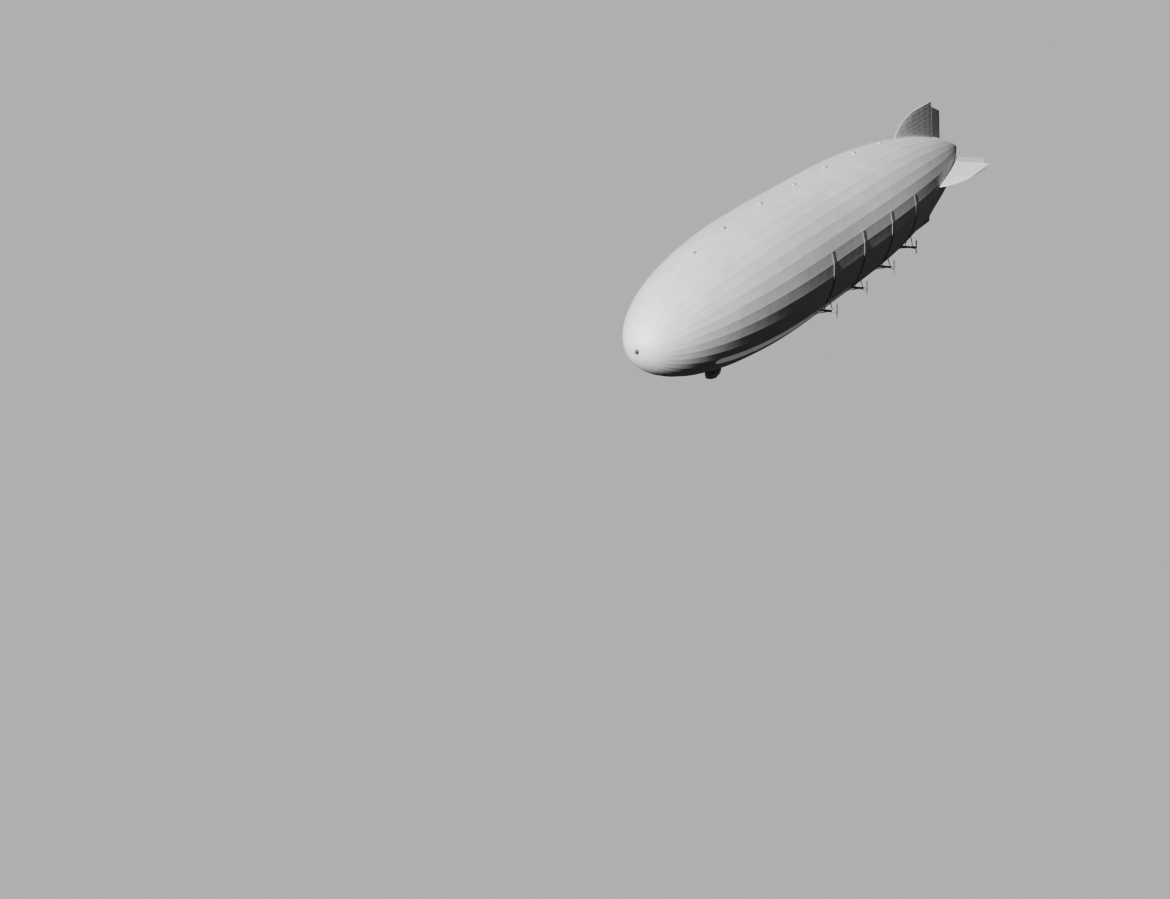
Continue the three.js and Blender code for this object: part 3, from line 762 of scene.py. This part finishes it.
# Arms that reach aft to the hinge, each ending in a boss with a pin and a bolted foot.
def finArms():
    half, height, boss = arm["half"], arm["height"], arm["boss"]
    patches = []
    for middle in (flap["outer"] + 0.004 + height / 2, flap["inner"] - 0.004 - height):
        path = place(np.linspace(fin["back"] - 0.3, hingeStation, 5), 0.0, middle)
        bottom = place(hingeStation, 0, middle - height / 2 + 0.02)
        long = height - 0.04
        foot = place(fin["back"] + 0.02, np.array([-0.1, 0.1, -0.1, 0.1]),
                     middle + np.array([-0.12, -0.12, 0.12, 0.12]))
        profile = [(0, 0.17), (0.02, boss), (long - 0.02, boss), (long, 0.17)]
        patches += [carried(path, boxSection(2 * half, height - 0.06, 0.04), finish=1),
                    spun(bottom, upward, profile, 24, finish=1),
                    spun(bottom, upward, [(-0.02, 0.06), (long + 0.02, 0.06)], 12, finish=2),
                    studs(foot, -forward, 0.03, 0.03, finish=2)]
    return patches


# The surface hangs clear of the hull: its lower edge follows it past the skirt.
def flapInner(station):
    skirt = hingeStation + 1
    at = np.array([skirt, skirt + 0.4, 217, 223])
    low = np.array([flap["inner"], *(hullRadius(at[1:]) + flap["hullGap"])])
    return np.interp(station, at, low)


# Its outer edge runs inwards from just aft of the hinge.
def flapOuter(station):
    return np.interp(station, [hingeStation + flap["rakeStart"], flap["outerBack"]],
                     [flap["outer"], flap["rakeEnd"]])


# Rows from the lower to the outer edge and columns round the chord, with a round hinge side.
def flapSurface():
    arc = np.radians(np.linspace(90, 270, 17))[None]
    back = np.linspace(1, 0, 26)[:-1] ** 1.2
    along = np.concatenate([back, np.zeros(17), back[::-1]])[None]
    bow = np.concatenate([np.full(25, np.pi / 2), arc[0], np.full(25, 1.5 * np.pi)])[None]
    up = (0.5 - 0.5 * np.cos(np.linspace(0, np.pi, 40)))[:, None]
    station = hingeStation + along * 9 + 0 * up
    for _ in range(6):
        low, high = flapInner(station), flapOuter(station)
        distance = low + (high - low) * up
        share = (distance - flap["inner"]) / (flap["outer"] - flap["inner"])
        end = flap["innerBack"] + (flap["outerBack"] - flap["innerBack"]) * share
        radius = finHalf(distance) * edgeShare
        station = (hingeStation + radius * np.cos(bow)) * (1 - along) + end * along
    fromEdge = np.minimum(distance - low, high - distance)
    shrink = edgeRound(fromEdge, flap["rounding"])
    half = radius * (1 - along) + flap["halfEdge"] * along
    ribs = (distance - flap["inner"]) / flap["rib"]
    hollow = np.sin(np.pi * ribs) ** 2 * smoothStep(0.02, 0.3, along) * smoothStep(0, 0.2, 1 - along)
    port = np.sin(bow) * (half - flap["sag"] * hollow * (along > 0)) * shrink
    return patch(place(station, port, distance),
                 fields={"clothAlong": along * 3, "clothAcross": ribs, "soil": 0.06})


def makeTail():
    for side, (angle, kind) in surfaces.items():
        makePiece(f"{side}_fin_skin", "hull",
                  turnedAbout([finSurface(fin["soiled"][kind]), *finArms()], angle),
                  [finCloth, silverPaint, dullMetal], [f"{side}_fin"], sharp=50)
        makePiece(f"{side}_{kind}_skin", f"{side}_{kind}", turnedAbout([flapSurface()], angle),
                  [flapCloth], [f"{side}_{kind}"], sharp=50)


makeTail()
print("fins, rudders and elevators made")

# Condensers: ribbed strips up the hull's side above each outrigger
condenser = {
    "half": 0.6, "proud": 0.15, "from": 75.0, "to": 123.0, "rowStep": 0.8, "tubes": 9,
    "rail": 0.08, "tubeDepth": 0.018, "strapStep": 5.0,
}


# Across the strip: rails at both edges, and between them tubes as half sine waves.
def condenserProfile():
    inner = condenser["half"] - condenser["rail"]
    across = np.linspace(-inner, inner, condenser["tubes"] * 6 + 1)
    wave = np.abs(np.sin(np.pi * condenser["tubes"] * (across + inner) / (2 * inner)))
    tube = condenser["proud"] - 0.03 + condenser["tubeDepth"] * np.sqrt(wave)
    half, proud = condenser["half"], condenser["proud"]
    edge = np.array([(half, -0.1), (half, proud - 0.03), (half - 0.03, proud), (inner + 0.01, proud)])
    left = edge * [-1, 1]
    return np.vstack([left, np.stack([across, tube], -1), edge[::-1]])


# The strip itself, straps over it with a bolt at each end, and a tank across each end of it.
def condenserStrip(power, sign):
    first, last, half = condenser["from"], condenser["to"], condenser["half"]
    across, rise = condenserProfile().T
    degrees = np.arange(first, last + 0.1, condenser["rowStep"])[:, None]
    patches = [patch(onCover(power + across, degrees, rise, sign))]
    for angle in np.arange(first + 1, last, condenser["strapStep"]):
        outward = outwards(sign * angle)
        strap = onCover(power + np.linspace(-half, half, 4), angle, condenser["proud"] - 0.015, sign)
        ends = power + np.array([0.04 - half, half - 0.04])
        patches += [carried(strap, boxSection(0.14, 0.04, 0.01), up=outward, finish=1),
                    studs(onCover(ends, angle, condenser["proud"] + 0.01, sign), outward, 0.03, 0.025,
                          finish=1)]
    profile = [(0, 0.05), (0.03, 0.09), (2 * half - 0.03, 0.09), (2 * half, 0.05)]
    for angle in (first + 0.3, last - 0.3):
        start, end = onCover(power + np.array([-half, half]), angle, 0.07, sign)
        patches.append(spun(start, end - start, profile, 18, finish=1))
    return patches


# One piece at each power station of each side. Names are filled in with the side and number.
def makeAtStations(name, body, build, finishes, replaced, sharp=35):
    for side, sign in flanks.items():
        for number, power in enumerate(powerStations, 1):
            spot = f"{side}_{number}"
            makePiece(name.format(spot), body.format(spot), build(power, sign), finishes,
                      [replaced.format(spot)], sharp)


makeAtStations("condenser_strip_{}", "hull", condenserStrip, [condenserMetal, dullMetal],
               "condenser_{}", sharp=40)
print("condensers made")

# Outriggers: a tube, three struts, their collars and foot plates, and an end flange
boom = {"reach": 4.3, "root": 0.6, "height": -13.2, "radius": 0.36, "flange": 0.46,
        "flangeThick": 0.14, "boltRing": 0.425, "strut": 0.16}
# Inwards from the boom's end; aft of the boom and degrees round the hull for the foot.
braces = [(0.3, -1.7, 113), (0.7, -3.4, 131), (3.0, 2.8, 130)]


# Where a power station's boom ends, the same reach out of the hull at each.
def boomEnd(power):
    return float(np.sqrt(hullRadius(power) ** 2 - boom["height"] ** 2)) + boom["reach"]


def boomBody(power, sign):
    radius, rim, thick = boom["radius"], boom["flange"], boom["flangeThick"]
    end = place(power, sign * boomEnd(power), boom["height"])
    length, out = boom["reach"] + boom["root"], sign * portward
    profile = [(0.0, 0.6), (0.45, 0.6), (0.62, 0.56), (0.78, 0.46), (1.0, radius + 0.03)]
    for inwards in sorted((brace[0] for brace in braces), reverse=True):
        at = length - inwards
        profile += [(at - 0.14, radius), (at - 0.13, radius + 0.045), (at + 0.09, radius + 0.045),
                    (at + 0.1, radius)]
    profile += [(length - thick - 0.1, radius), (length - thick, radius + 0.03), (length - thick, rim),
                (length - 0.06, rim), (length - 0.06, rim - 0.03), (length - 0.04, rim - 0.03),
                (length - 0.04, rim), (length, rim)]
    bolts = boltCircle(end - thick * out, -forward, upward, boom["boltRing"], 8, (0.03, 0.04), -out, 0.2)
    return [spun(end - length * out, out, profile, 28), bolts]


def strutBody(power, sign, inwards, aft, degrees):
    thick = boom["strut"]
    thin = thick * 0.75
    outward = outwards(sign * degrees)
    foot = polar(power + aft, hullRadius(power + aft) - 0.12, sign * degrees)
    top = place(power, sign * (boomEnd(power) - inwards), boom["height"])
    length = np.linalg.norm(foot - top)
    profile = [(0.05, thick), (0.5, thick), (0.62, thin), (0.9, thin * 1.02),
               (length / 2, thick * 0.95), (length - 0.9, thin * 1.02), (length - 0.66, thin),
               (length - 0.55, thick), (length, thick)]
    plate = spun(foot, outward, [(0, 0.38), (0.16, 0.38), (0.19, 0.35), (0.19, 0.24), (0.3, 0.2)], 24)
    bolts = boltCircle(foot + outward * 0.19, forward, np.cross(outward, forward), 0.3, 6, (0.03, 0.03),
                       outward)
    return [spun(top, foot - top, profile, 16), plate, bolts]


def outriggerFrame(power, sign):
    struts = [one for brace in braces for one in strutBody(power, sign, *brace)]
    return boomBody(power, sign) + struts


makeAtStations("outrigger_frame_{}", "hull", outriggerFrame, [paintedStrut, dullMetal],
               "outrigger_{}")
print("outriggers made")

# Gearboxes: a rounded case along the propeller's shaft and a neck into the outrigger's flange
head = {"past": 0.56, "radius": 0.44, "front": 0.85, "back": 0.62, "neck": 0.4}
propeller = {"hub": 0.24, "length": 0.5, "spinner": 0.45, "plane": 0.88, "root": 0.1, "tip": 2.49,
             "sections": 34, "layer": 0.035}
bladeShape = np.array([  # radius, chord, thickness, pitch in degrees
    [0.1, 0.24, 0.2, 62], [0.45, 0.3, 0.16, 56], [0.9, 0.44, 0.12, 42], [1.4, 0.48, 0.09, 31],
    [1.9, 0.4, 0.07, 25], [2.3, 0.26, 0.05, 21], [2.49, 0.1, 0.03, 20]])


# The middle of a power station's gearbox, past the end of its boom.
def headCentre(power, sign):
    return place(power, sign * (boomEnd(power) + head["past"]), boom["height"])


def gearboxBody(power, sign):
    r, front, back = head["radius"], head["front"], head["back"]
    centre, out = headCentre(power, sign), sign * portward
    turn = np.linspace(0, 0.5 * np.pi, 9)[1:]
    dome = [(front * 0.62 * (1 - np.cos(a)), r * 0.94 * np.sin(a)) for a in turn]
    length = front + back
    ribs = []
    for at in (0.62, 0.72, 0.82):
        ribs += [(at - 0.02, r * 0.94), (at - 0.015, r), (at + 0.015, r), (at + 0.02, r * 0.94)]
    profile = [(0, 0.03), *dome, *ribs, (front + 0.28, r * 0.94), (front + 0.29, r), (front + 0.36, r),
               (front + 0.37, r * 0.9), (length - 0.04, propeller["hub"] + 0.03), (length, 0.22)]
    case = spun(centre + front * forward, -forward, profile, 32)
    wide, narrow = head["neck"], head["neck"] - 0.05
    neck = spun(centre - (head["past"] - 0.004) * out, out,
                [(0, wide - 0.01), (0.015, wide), (0.06, wide), (0.07, narrow), (0.12, narrow),
                 (0.13, wide - 0.01), (0.2, wide - 0.01), (0.22, narrow), (head["past"], narrow)], 28)
    bolts = boltCircle(centre - 0.325 * forward, portward, upward, r - 0.005, 8, (0.025, 0.02))
    cap = spun(centre, out, [(0.2, 0.24), (r - 0.02, 0.24), (r - 0.005, 0.2), (r - 0.005, 0.12),
                             (r, 0.06)], 20)
    return [case, neck, bolts, cap]


makeAtStations("gearbox_{}_case", "gearbox_{}", gearboxBody, [gearMetal, dullMetal],
               "gearbox_{}")
print("gearboxes made")


# A blade section: the root of the way along times the rest of it, fuller above than below.
def bladeSection(along, above):
    height = np.sqrt(along) * (1 - along) * 2.6
    return np.where(above, 0.5, -0.3) * height


# Sections along the blade, turned by its pitch; laminations lie as layers through the thickness.
# The chord's shares run back above the blade and forward below it, and one that is cut off
# before the trailing edge has its last share twice.
def bladePatch(radii, shares, grow=0.0, finish=0):
    below = shares[-2 if shares[-1] == 1 else -1:0:-1]
    along = np.concatenate([shares, below])
    above = np.arange(len(along)) < len(shares)
    chord, thick, pitch = (np.polyval(np.polyfit(bladeShape[:, 0], bladeShape[:, k], 4), radii)[:, None]
                           for k in (1, 2, 3))
    turn = np.radians(pitch)
    u = (along - 0.5) * chord - grow * (along < 0.02)
    v = bladeSection(along, above) * thick + grow * np.where(above, 1, -1)
    back, side = u * np.sin(turn) + v * np.cos(turn), u * np.cos(turn) - v * np.sin(turn)
    up = np.broadcast_to(radii[:, None], back.shape)
    return patch(np.stack([-propeller["plane"] - back, side, up], -1), finish=finish,
                 fields={"layer": back / propeller["layer"]})


def propellerBody(power, sign):
    length, hub = propeller["length"], propeller["hub"]
    centre = headCentre(power, sign)
    start = centre - (head["back"] + 0.004) * forward
    turn = np.linspace(0, np.pi / 2, 10)[1:]
    cone = [(length + propeller["spinner"] * np.sin(a) ** 0.9, max(hub * 0.92 * np.cos(a), 0.004))
            for a in turn]
    profile = [(0, 0.2), (0.02, hub), (0.09, hub), (0.1, hub * 0.86), (0.4, hub * 0.86),
               (0.41, hub), (0.48, hub), (length, hub * 0.95), *cone]
    root, tip = propeller["root"], propeller["tip"]
    blade = bladePatch(np.linspace(root, tip, propeller["sections"]), np.linspace(0, 1, 15) ** 1.5)
    edge = bladePatch(np.linspace(1.25, tip, 18), np.linspace(0, 0.2, 7) ** 1.2, 0.005, finish=1)
    halves = [changed(one, lambda p: p * turned + centre)
              for one in (blade, edge) for turned in ([1, 1, 1], [1, -1, -1])]
    bolts = boltCircle(start - 0.09 * forward, portward, upward, 0.16, 8, (0.025, 0.03), forward)
    return [spun(start, -forward, profile, 36, finish=1), *halves, bolts]


makeAtStations("propeller_{}_blades", "propeller_{}", propellerBody, [bladeWood, gearMetal],
               "propeller_{}")
print("propellers made")

# Control car: its walls, floor, door and glazing are the CAD nodes with better materials. Frames,
# rivets, mouldings, rails, a step and what shows through the windows are added here.
car = {
    "noseCentre": 36.6, "noseLong": 1.95, "tailStart": 38.9, "half": 1.75, "sill": -20.2,
    "low": -19.6, "high": -18.65, "wide": 0.56, "noseAngles": (-66, -40, -14, 14, 40, 66),
    "sideWindows": ((37.1, 1), (37.1, -1), (37.8, -1), (38.45, -1)),
    "frame": 0.085, "frameDeep": 0.05, "rivetStep": 0.16, "rivet": (0.016, 0.011),
}
door = {"front": 37.85, "back": 38.6, "low": -20.13, "high": -18.3, "half": 0.22,
        "windowLow": -19.35, "windowHigh": -18.65, "wall": 0.12}


# A rounded rectangle's two coordinates.
def windowOutline(wide, high):
    return roundedSquare(48, 0.2) * [[wide / 2], [high / 2]]


def windowFrame(path, up):
    return carried(path, boxSection(car["frame"], car["frameDeep"], 0.012), up, closed=True)


# Distance from the nose's centre to its wall along a ray shifted sideways: where the ray's
# coordinates over the two half axes square to a sum of one.
def noseReach(angle, shift):
    a, b = car["noseLong"], car["half"]
    c, s = np.cos(angle), np.sin(angle)
    two = (c / a) ** 2 + (s / b) ** 2
    one = 2 * shift * c * s * (1 / b ** 2 - 1 / a ** 2)
    none = (shift * s / a) ** 2 + (shift * c / b) ** 2 - 1
    return (-one + np.sqrt(one ** 2 - 4 * two * none)) / (2 * two)


def noseFrame(degrees):
    angle = np.radians(degrees)
    shift, height = windowOutline(car["wide"], car["high"] - car["low"])
    reach = noseReach(angle, shift) - 0.01
    ahead = reach * np.cos(angle) - shift * np.sin(angle)
    port = reach * np.sin(angle) + shift * np.cos(angle)
    path = place(car["noseCentre"] - ahead, port, height + (car["low"] + car["high"]) / 2)
    return windowFrame(path, (np.cos(angle), np.sin(angle), 0))


def sideFrame(station, sign, wide, low, high):
    shift, height = windowOutline(wide, high - low)
    path = place(station + shift, sign * car["half"], height + (low + high) / 2)
    return windowFrame(path, sign * portward)


# The car's outline at a height: half an ellipse in front, the straight sides and, where it
# goes all round, half an ellipse behind.
def carPath(height, inset, tailStart, tailLong, allRound=False):
    turn = np.radians(np.linspace(-90, 90, 28))
    out, port = np.cos(turn), (car["half"] - inset) * np.sin(turn)
    front = place(car["noseCentre"] - (car["noseLong"] - inset) * out, port, height)
    back = place(tailStart + (tailLong - inset) * out, -port, height)
    return np.vstack([front, back] if allRound else [back[-1:], front, back[:1]])


# A moulding under the floor's edge, the keel's bumper, the eaves, and a hand rail on posts.
def carMouldings():
    railHeight = -20.72
    railPath = carPath(railHeight, -0.06, 38.0, 1.0)
    patches = [carried(carPath(car["sill"] - 0.03, -0.005, car["tailStart"], 1.2, True),
                       boxSection(0.05, 0.1, 0.015), closed=True),
               carried(carPath(-21.06, 0.13, 36.8, 0.95, True), boxSection(0.1, 0.1, 0.02), closed=True,
                       finish=1),
               carried(carPath(-18.42, 0.01, car["tailStart"], 3.3), boxSection(0.04, 0.06, 0.01)),
               carried(railPath, circle(10, 0.028), finish=1)]
    middle = place(car["noseCentre"], 0, railHeight)
    post = [(-0.02, 0.02), (0.16, 0.02), (0.165, 0.045), (0.2, 0.045)]
    return patches + [spun(point, middle - point, post, 10, finish=1)
                      for point in railPath[[0, *range(1, 28, 5), 28, 29]]]


# Rows of rivets on the straight sides, above and below the windows and at the walls' ends,
# and round the nose.
def carRivets():
    patches = []
    for sign in (1, -1):
        along = np.arange(car["noseCentre"] + 0.06, car["tailStart"], car["rivetStep"])
        up = np.arange(car["sill"] + 0.1, -18.05, car["rivetStep"])
        rows = [place(along, sign * car["half"], height) for height in (-20.1, -19.78, -18.5)]
        rows += [place(end, sign * car["half"], up)
                 for end in (car["noseCentre"] + 0.05, car["tailStart"] - 0.05)]
        spots = np.vstack(rows)
        station = ship["liftStation"] - spots[:, 0]
        atDoor = (sign > 0) & (station > door["front"] - 0.25) & (station < door["back"] + 0.05)
        patches.append(studs(spots[~atDoor], sign * portward, *car["rivet"]))
    angles = np.radians(np.linspace(-88, 88, 34))
    reach = noseReach(angles, 0.0) - 0.008
    outward = np.stack([np.cos(angles), np.sin(angles), 0 * angles], -1)
    for height in (-20.1, -19.8, -18.45):
        spots = place(car["noseCentre"] - reach * np.cos(angles), reach * np.sin(angles), height)
        patches.append(studs(spots, outward, *car["rivet"]))
    return patches


# A step on two brackets under the door, and a grab rail beside it.
def doorStep():
    middle = (door["front"] + door["back"]) / 2
    tread = carried(place(np.linspace(middle - 0.3, middle + 0.3, 4), car["half"] + 0.14, -20.55),
                    boxSection(0.22, 0.04, 0.01), finish=1)
    brackets = [carried(place(at, np.array([1.6, 1.75, 1.98]), np.array([-20.62, -20.6, -20.57])),
                        boxSection(0.05, 0.05, 0.01), finish=1) for at in (middle - 0.2, middle + 0.2)]
    height = np.array([-19.95, -19.93, -19.85, -19.2, -18.95, -18.87, -18.85])
    out = car["half"] + np.array([-0.02, 0.05, 0.08, 0.08, 0.08, 0.05, -0.02])
    grab = carried(place(door["back"] + 0.14, out, height), circle(8, 0.018), forward, finish=1)
    return [tread, *brackets, grab]


# Two steering wheels on stands and a chart table, as they show through the windows.
def carInside():
    floor = -20.19
    patches = []
    for station, port, faces in ((35.5, 0.0, forward), (36.9, -1.2, portward)):
        centre = place(station, port, -19.35)
        spokes = circle(32) @ [np.cross(faces, upward), upward]
        patches.append(carried(centre + 0.34 * spokes, circle(8, 0.022), faces, closed=True))
        patches += [spun(centre, spoke, [(0.03, 0.014), (0.42, 0.011), (0.44, 0.018)], 8)
                    for spoke in spokes[::4]]
        patches.append(spun(centre - faces * 0.05, faces,
                            [(0, 0.04), (0.02, 0.06), (0.1, 0.06), (0.12, 0.03)], 16, finish=1))
        foot = place(station, port, floor) - faces * 0.02
        patches.append(spun(foot, upward,
                            [(0, 0.16), (0.03, 0.16), (0.05, 0.08), (0.75, 0.06), (0.84, 0.03)],
                            14, finish=1))
    top = carried(place(np.linspace(38.0, 38.75, 3), -1.15, -19.4), boxSection(0.7, 0.05, 0.015))
    feet = [place(station, port, floor) for station in (38.05, 38.7) for port in (-1.45, -0.85)]
    legs = [spun(foot, upward, [(0, 0.05), (0.02, 0.03), (0.77, 0.025)], 10, finish=1)
            for foot in feet]
    return [*patches, top, *legs]


def doorFittings():
    middle, high = (door["front"] + door["back"]) / 2, door["windowHigh"] - door["windowLow"]
    outer, half, lip = car["half"], door["half"], 0.02
    ring = sideFrame(middle, 1, 2 * half, door["windowLow"], door["windowHigh"])
    pane = carried(place(np.linspace(middle - half - lip, middle + half + lip, 3),
                         outer - door["wall"] + 0.05, door["windowLow"] + high / 2),
                   boxSection(0.025, high + 2 * lip, 0.004), finish=2)
    knob = place(door["back"] - 0.12, outer, -19.45)
    handle = spun(knob, portward, [(-0.01, 0.045), (0.012, 0.045), (0.02, 0.018), (0.06, 0.018),
                                   (0.065, 0.03)], 14, finish=1)
    lever = carried(place(np.linspace(door["back"] - 0.1, door["back"] - 0.3, 4), outer + 0.06, -19.45),
                    boxSection(0.025, 0.03, 0.006), finish=1)
    edges = np.arange(door["low"] + 0.08, door["high"] - 0.02, 0.14)
    spots = np.vstack([place(at, outer, edges) for at in (door["front"] + 0.06, door["back"] - 0.06)])
    return [ring, pane, handle, lever, studs(spots, portward, 0.014, 0.01)]


def makeCar():
    frames = [noseFrame(degrees) for degrees in car["noseAngles"]]
    frames += [sideFrame(station, sign, car["wide"], car["low"], car["high"])
               for station, sign in car["sideWindows"]]
    makePiece("car_trim", "hull", [*frames, *carRivets(), *carMouldings(), *doorStep()],
              [carPaint, dullMetal], sharp=40)
    makePiece("car_inside", "hull", carInside(), [bladeWood, dullMetal], sharp=40)
    makePiece("car_door_fittings", "control_car_door", doorFittings(), [carPaint, dullMetal, paneGlass],
              sharp=40)


makeCar()
print("control car made")

# Materials on the CAD nodes that are still shown
for nodeName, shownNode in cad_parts.items():
    finish = (darkIron if "engine" in nodeName else paneGlass if "glazing" in nodeName
              else carPaint if "control_car" in nodeName else None)
    if finish:
        shownNode.data.materials.clear()
        shownNode.data.materials.append(finish)

# Camera
camera = {
    "location": (35.2537, 16.6527, 11.1022), "aim": (13.2851, 0.0, -1.5992),
    "roll": -6.624,  # degrees; the horizon leans a little
    "lens": 37.82, "farClip": 20000.0,
}


def makeCamera():
    made = addObject("camera", bpy.data.cameras.new("camera"))
    made.location = camera["location"]
    gaze = (Vector(camera["aim"]) - Vector(camera["location"])).to_track_quat("-Z", "Y")
    made.rotation_mode = "QUATERNION"
    made.rotation_quaternion = gaze @ Quaternion((0, 0, 1), np.radians(camera["roll"]))
    made.data.lens = camera["lens"]
    made.data.clip_end = camera["farClip"]
    bpy.context.scene.camera = made


# Studio: one sun ahead and above, a weak wide bounce from below, a pale room, and a
# pale floor far below that throws no light back, so that the underside stays dark.
studio = {
    "sunTowards": (0.848, 0.02, 0.53), "sunStrength": 8.4, "sunWidth": 2.0,
    "bounceTowards": (-0.3, -0.2, -0.93), "bounceStrength": 0.42, "bounceWidth": 25.0,
    "roomShown": 0.455, "skyLight": 0.1, "groundLight": 0.018, "groundGloss": 0.16,
    "floorHeight": -200.0, "floorHalf": 8000.0, "floorTone": 0.3,
}


# The room's grey shows to the camera alone. What it sheds is light from above and, much
# weaker, from the ground, where mirroring surfaces see more of it.
def makeStudio():
    for name in ("sun", "bounce"):
        lamp = addObject(name, bpy.data.lights.new(name, "SUN"))
        lamp.data.energy = studio[name + "Strength"]
        lamp.data.angle = np.radians(studio[name + "Width"])
        lamp.rotation_mode = "QUATERNION"
        lamp.rotation_quaternion = Vector(studio[name + "Towards"]).to_track_quat("Z", "Y")
    world = bpy.data.worlds.new("room")
    bpy.context.scene.world = world
    world.use_nodes = True
    tree = world.node_tree
    generated = tree.nodes.new("ShaderNodeTexCoord").outputs["Generated"]
    up = node(tree, "ShaderNodeSeparateXYZ", {0: generated}).outputs["Z"]
    rays = tree.nodes.new("ShaderNodeLightPath").outputs
    rise = mapRange(tree, up, 0.0, 0.35)
    ground = weighted(tree, studio["groundLight"],
                      (rays["Is Glossy Ray"], studio["groundGloss"] - studio["groundLight"]))
    light = weighted(tree, calc(tree, "MULTIPLY", ground, calc(tree, "SUBTRACT", 1.0, rise)),
                     (rise, studio["skyLight"]))
    lit = calc(tree, "MULTIPLY", light, calc(tree, "SUBTRACT", 1.0, rays["Is Camera Ray"]))
    background = tree.nodes["Background"]
    background.inputs["Color"].default_value = (1, 1, 1, 1)
    tree.links.new(weighted(tree, lit, (rays["Is Camera Ray"], studio["roomShown"])),
                   background.inputs["Strength"])


def makeFloor():
    half, level = studio["floorHalf"], studio["floorTone"]
    mesh = bpy.data.meshes.new("floor")
    corners = [(x * half, y * half, studio["floorHeight"])
               for x, y in ((-1, -1), (1, -1), (1, 1), (-1, 1))]
    mesh.from_pydata(corners, [], [(0, 1, 2, 3)])
    material, tree, coords = newMaterial("pale_floor", Roughness=0.9)
    tone = noise(tree, coords, 0.02, 3.0)
    colour = mixColour(tree, tone, grey(level * 0.985), grey(level * 1.015))
    mesh.materials.append(joined(material, colour))
    floor = addObject("floor", mesh)
    floor.visible_diffuse = False
    floor.visible_glossy = False


makeCamera()
makeStudio()
makeFloor()
view = bpy.context.scene.view_settings
view.view_transform = "AgX"
view.look = "AgX - Medium High Contrast"
print("camera, studio and floor made")
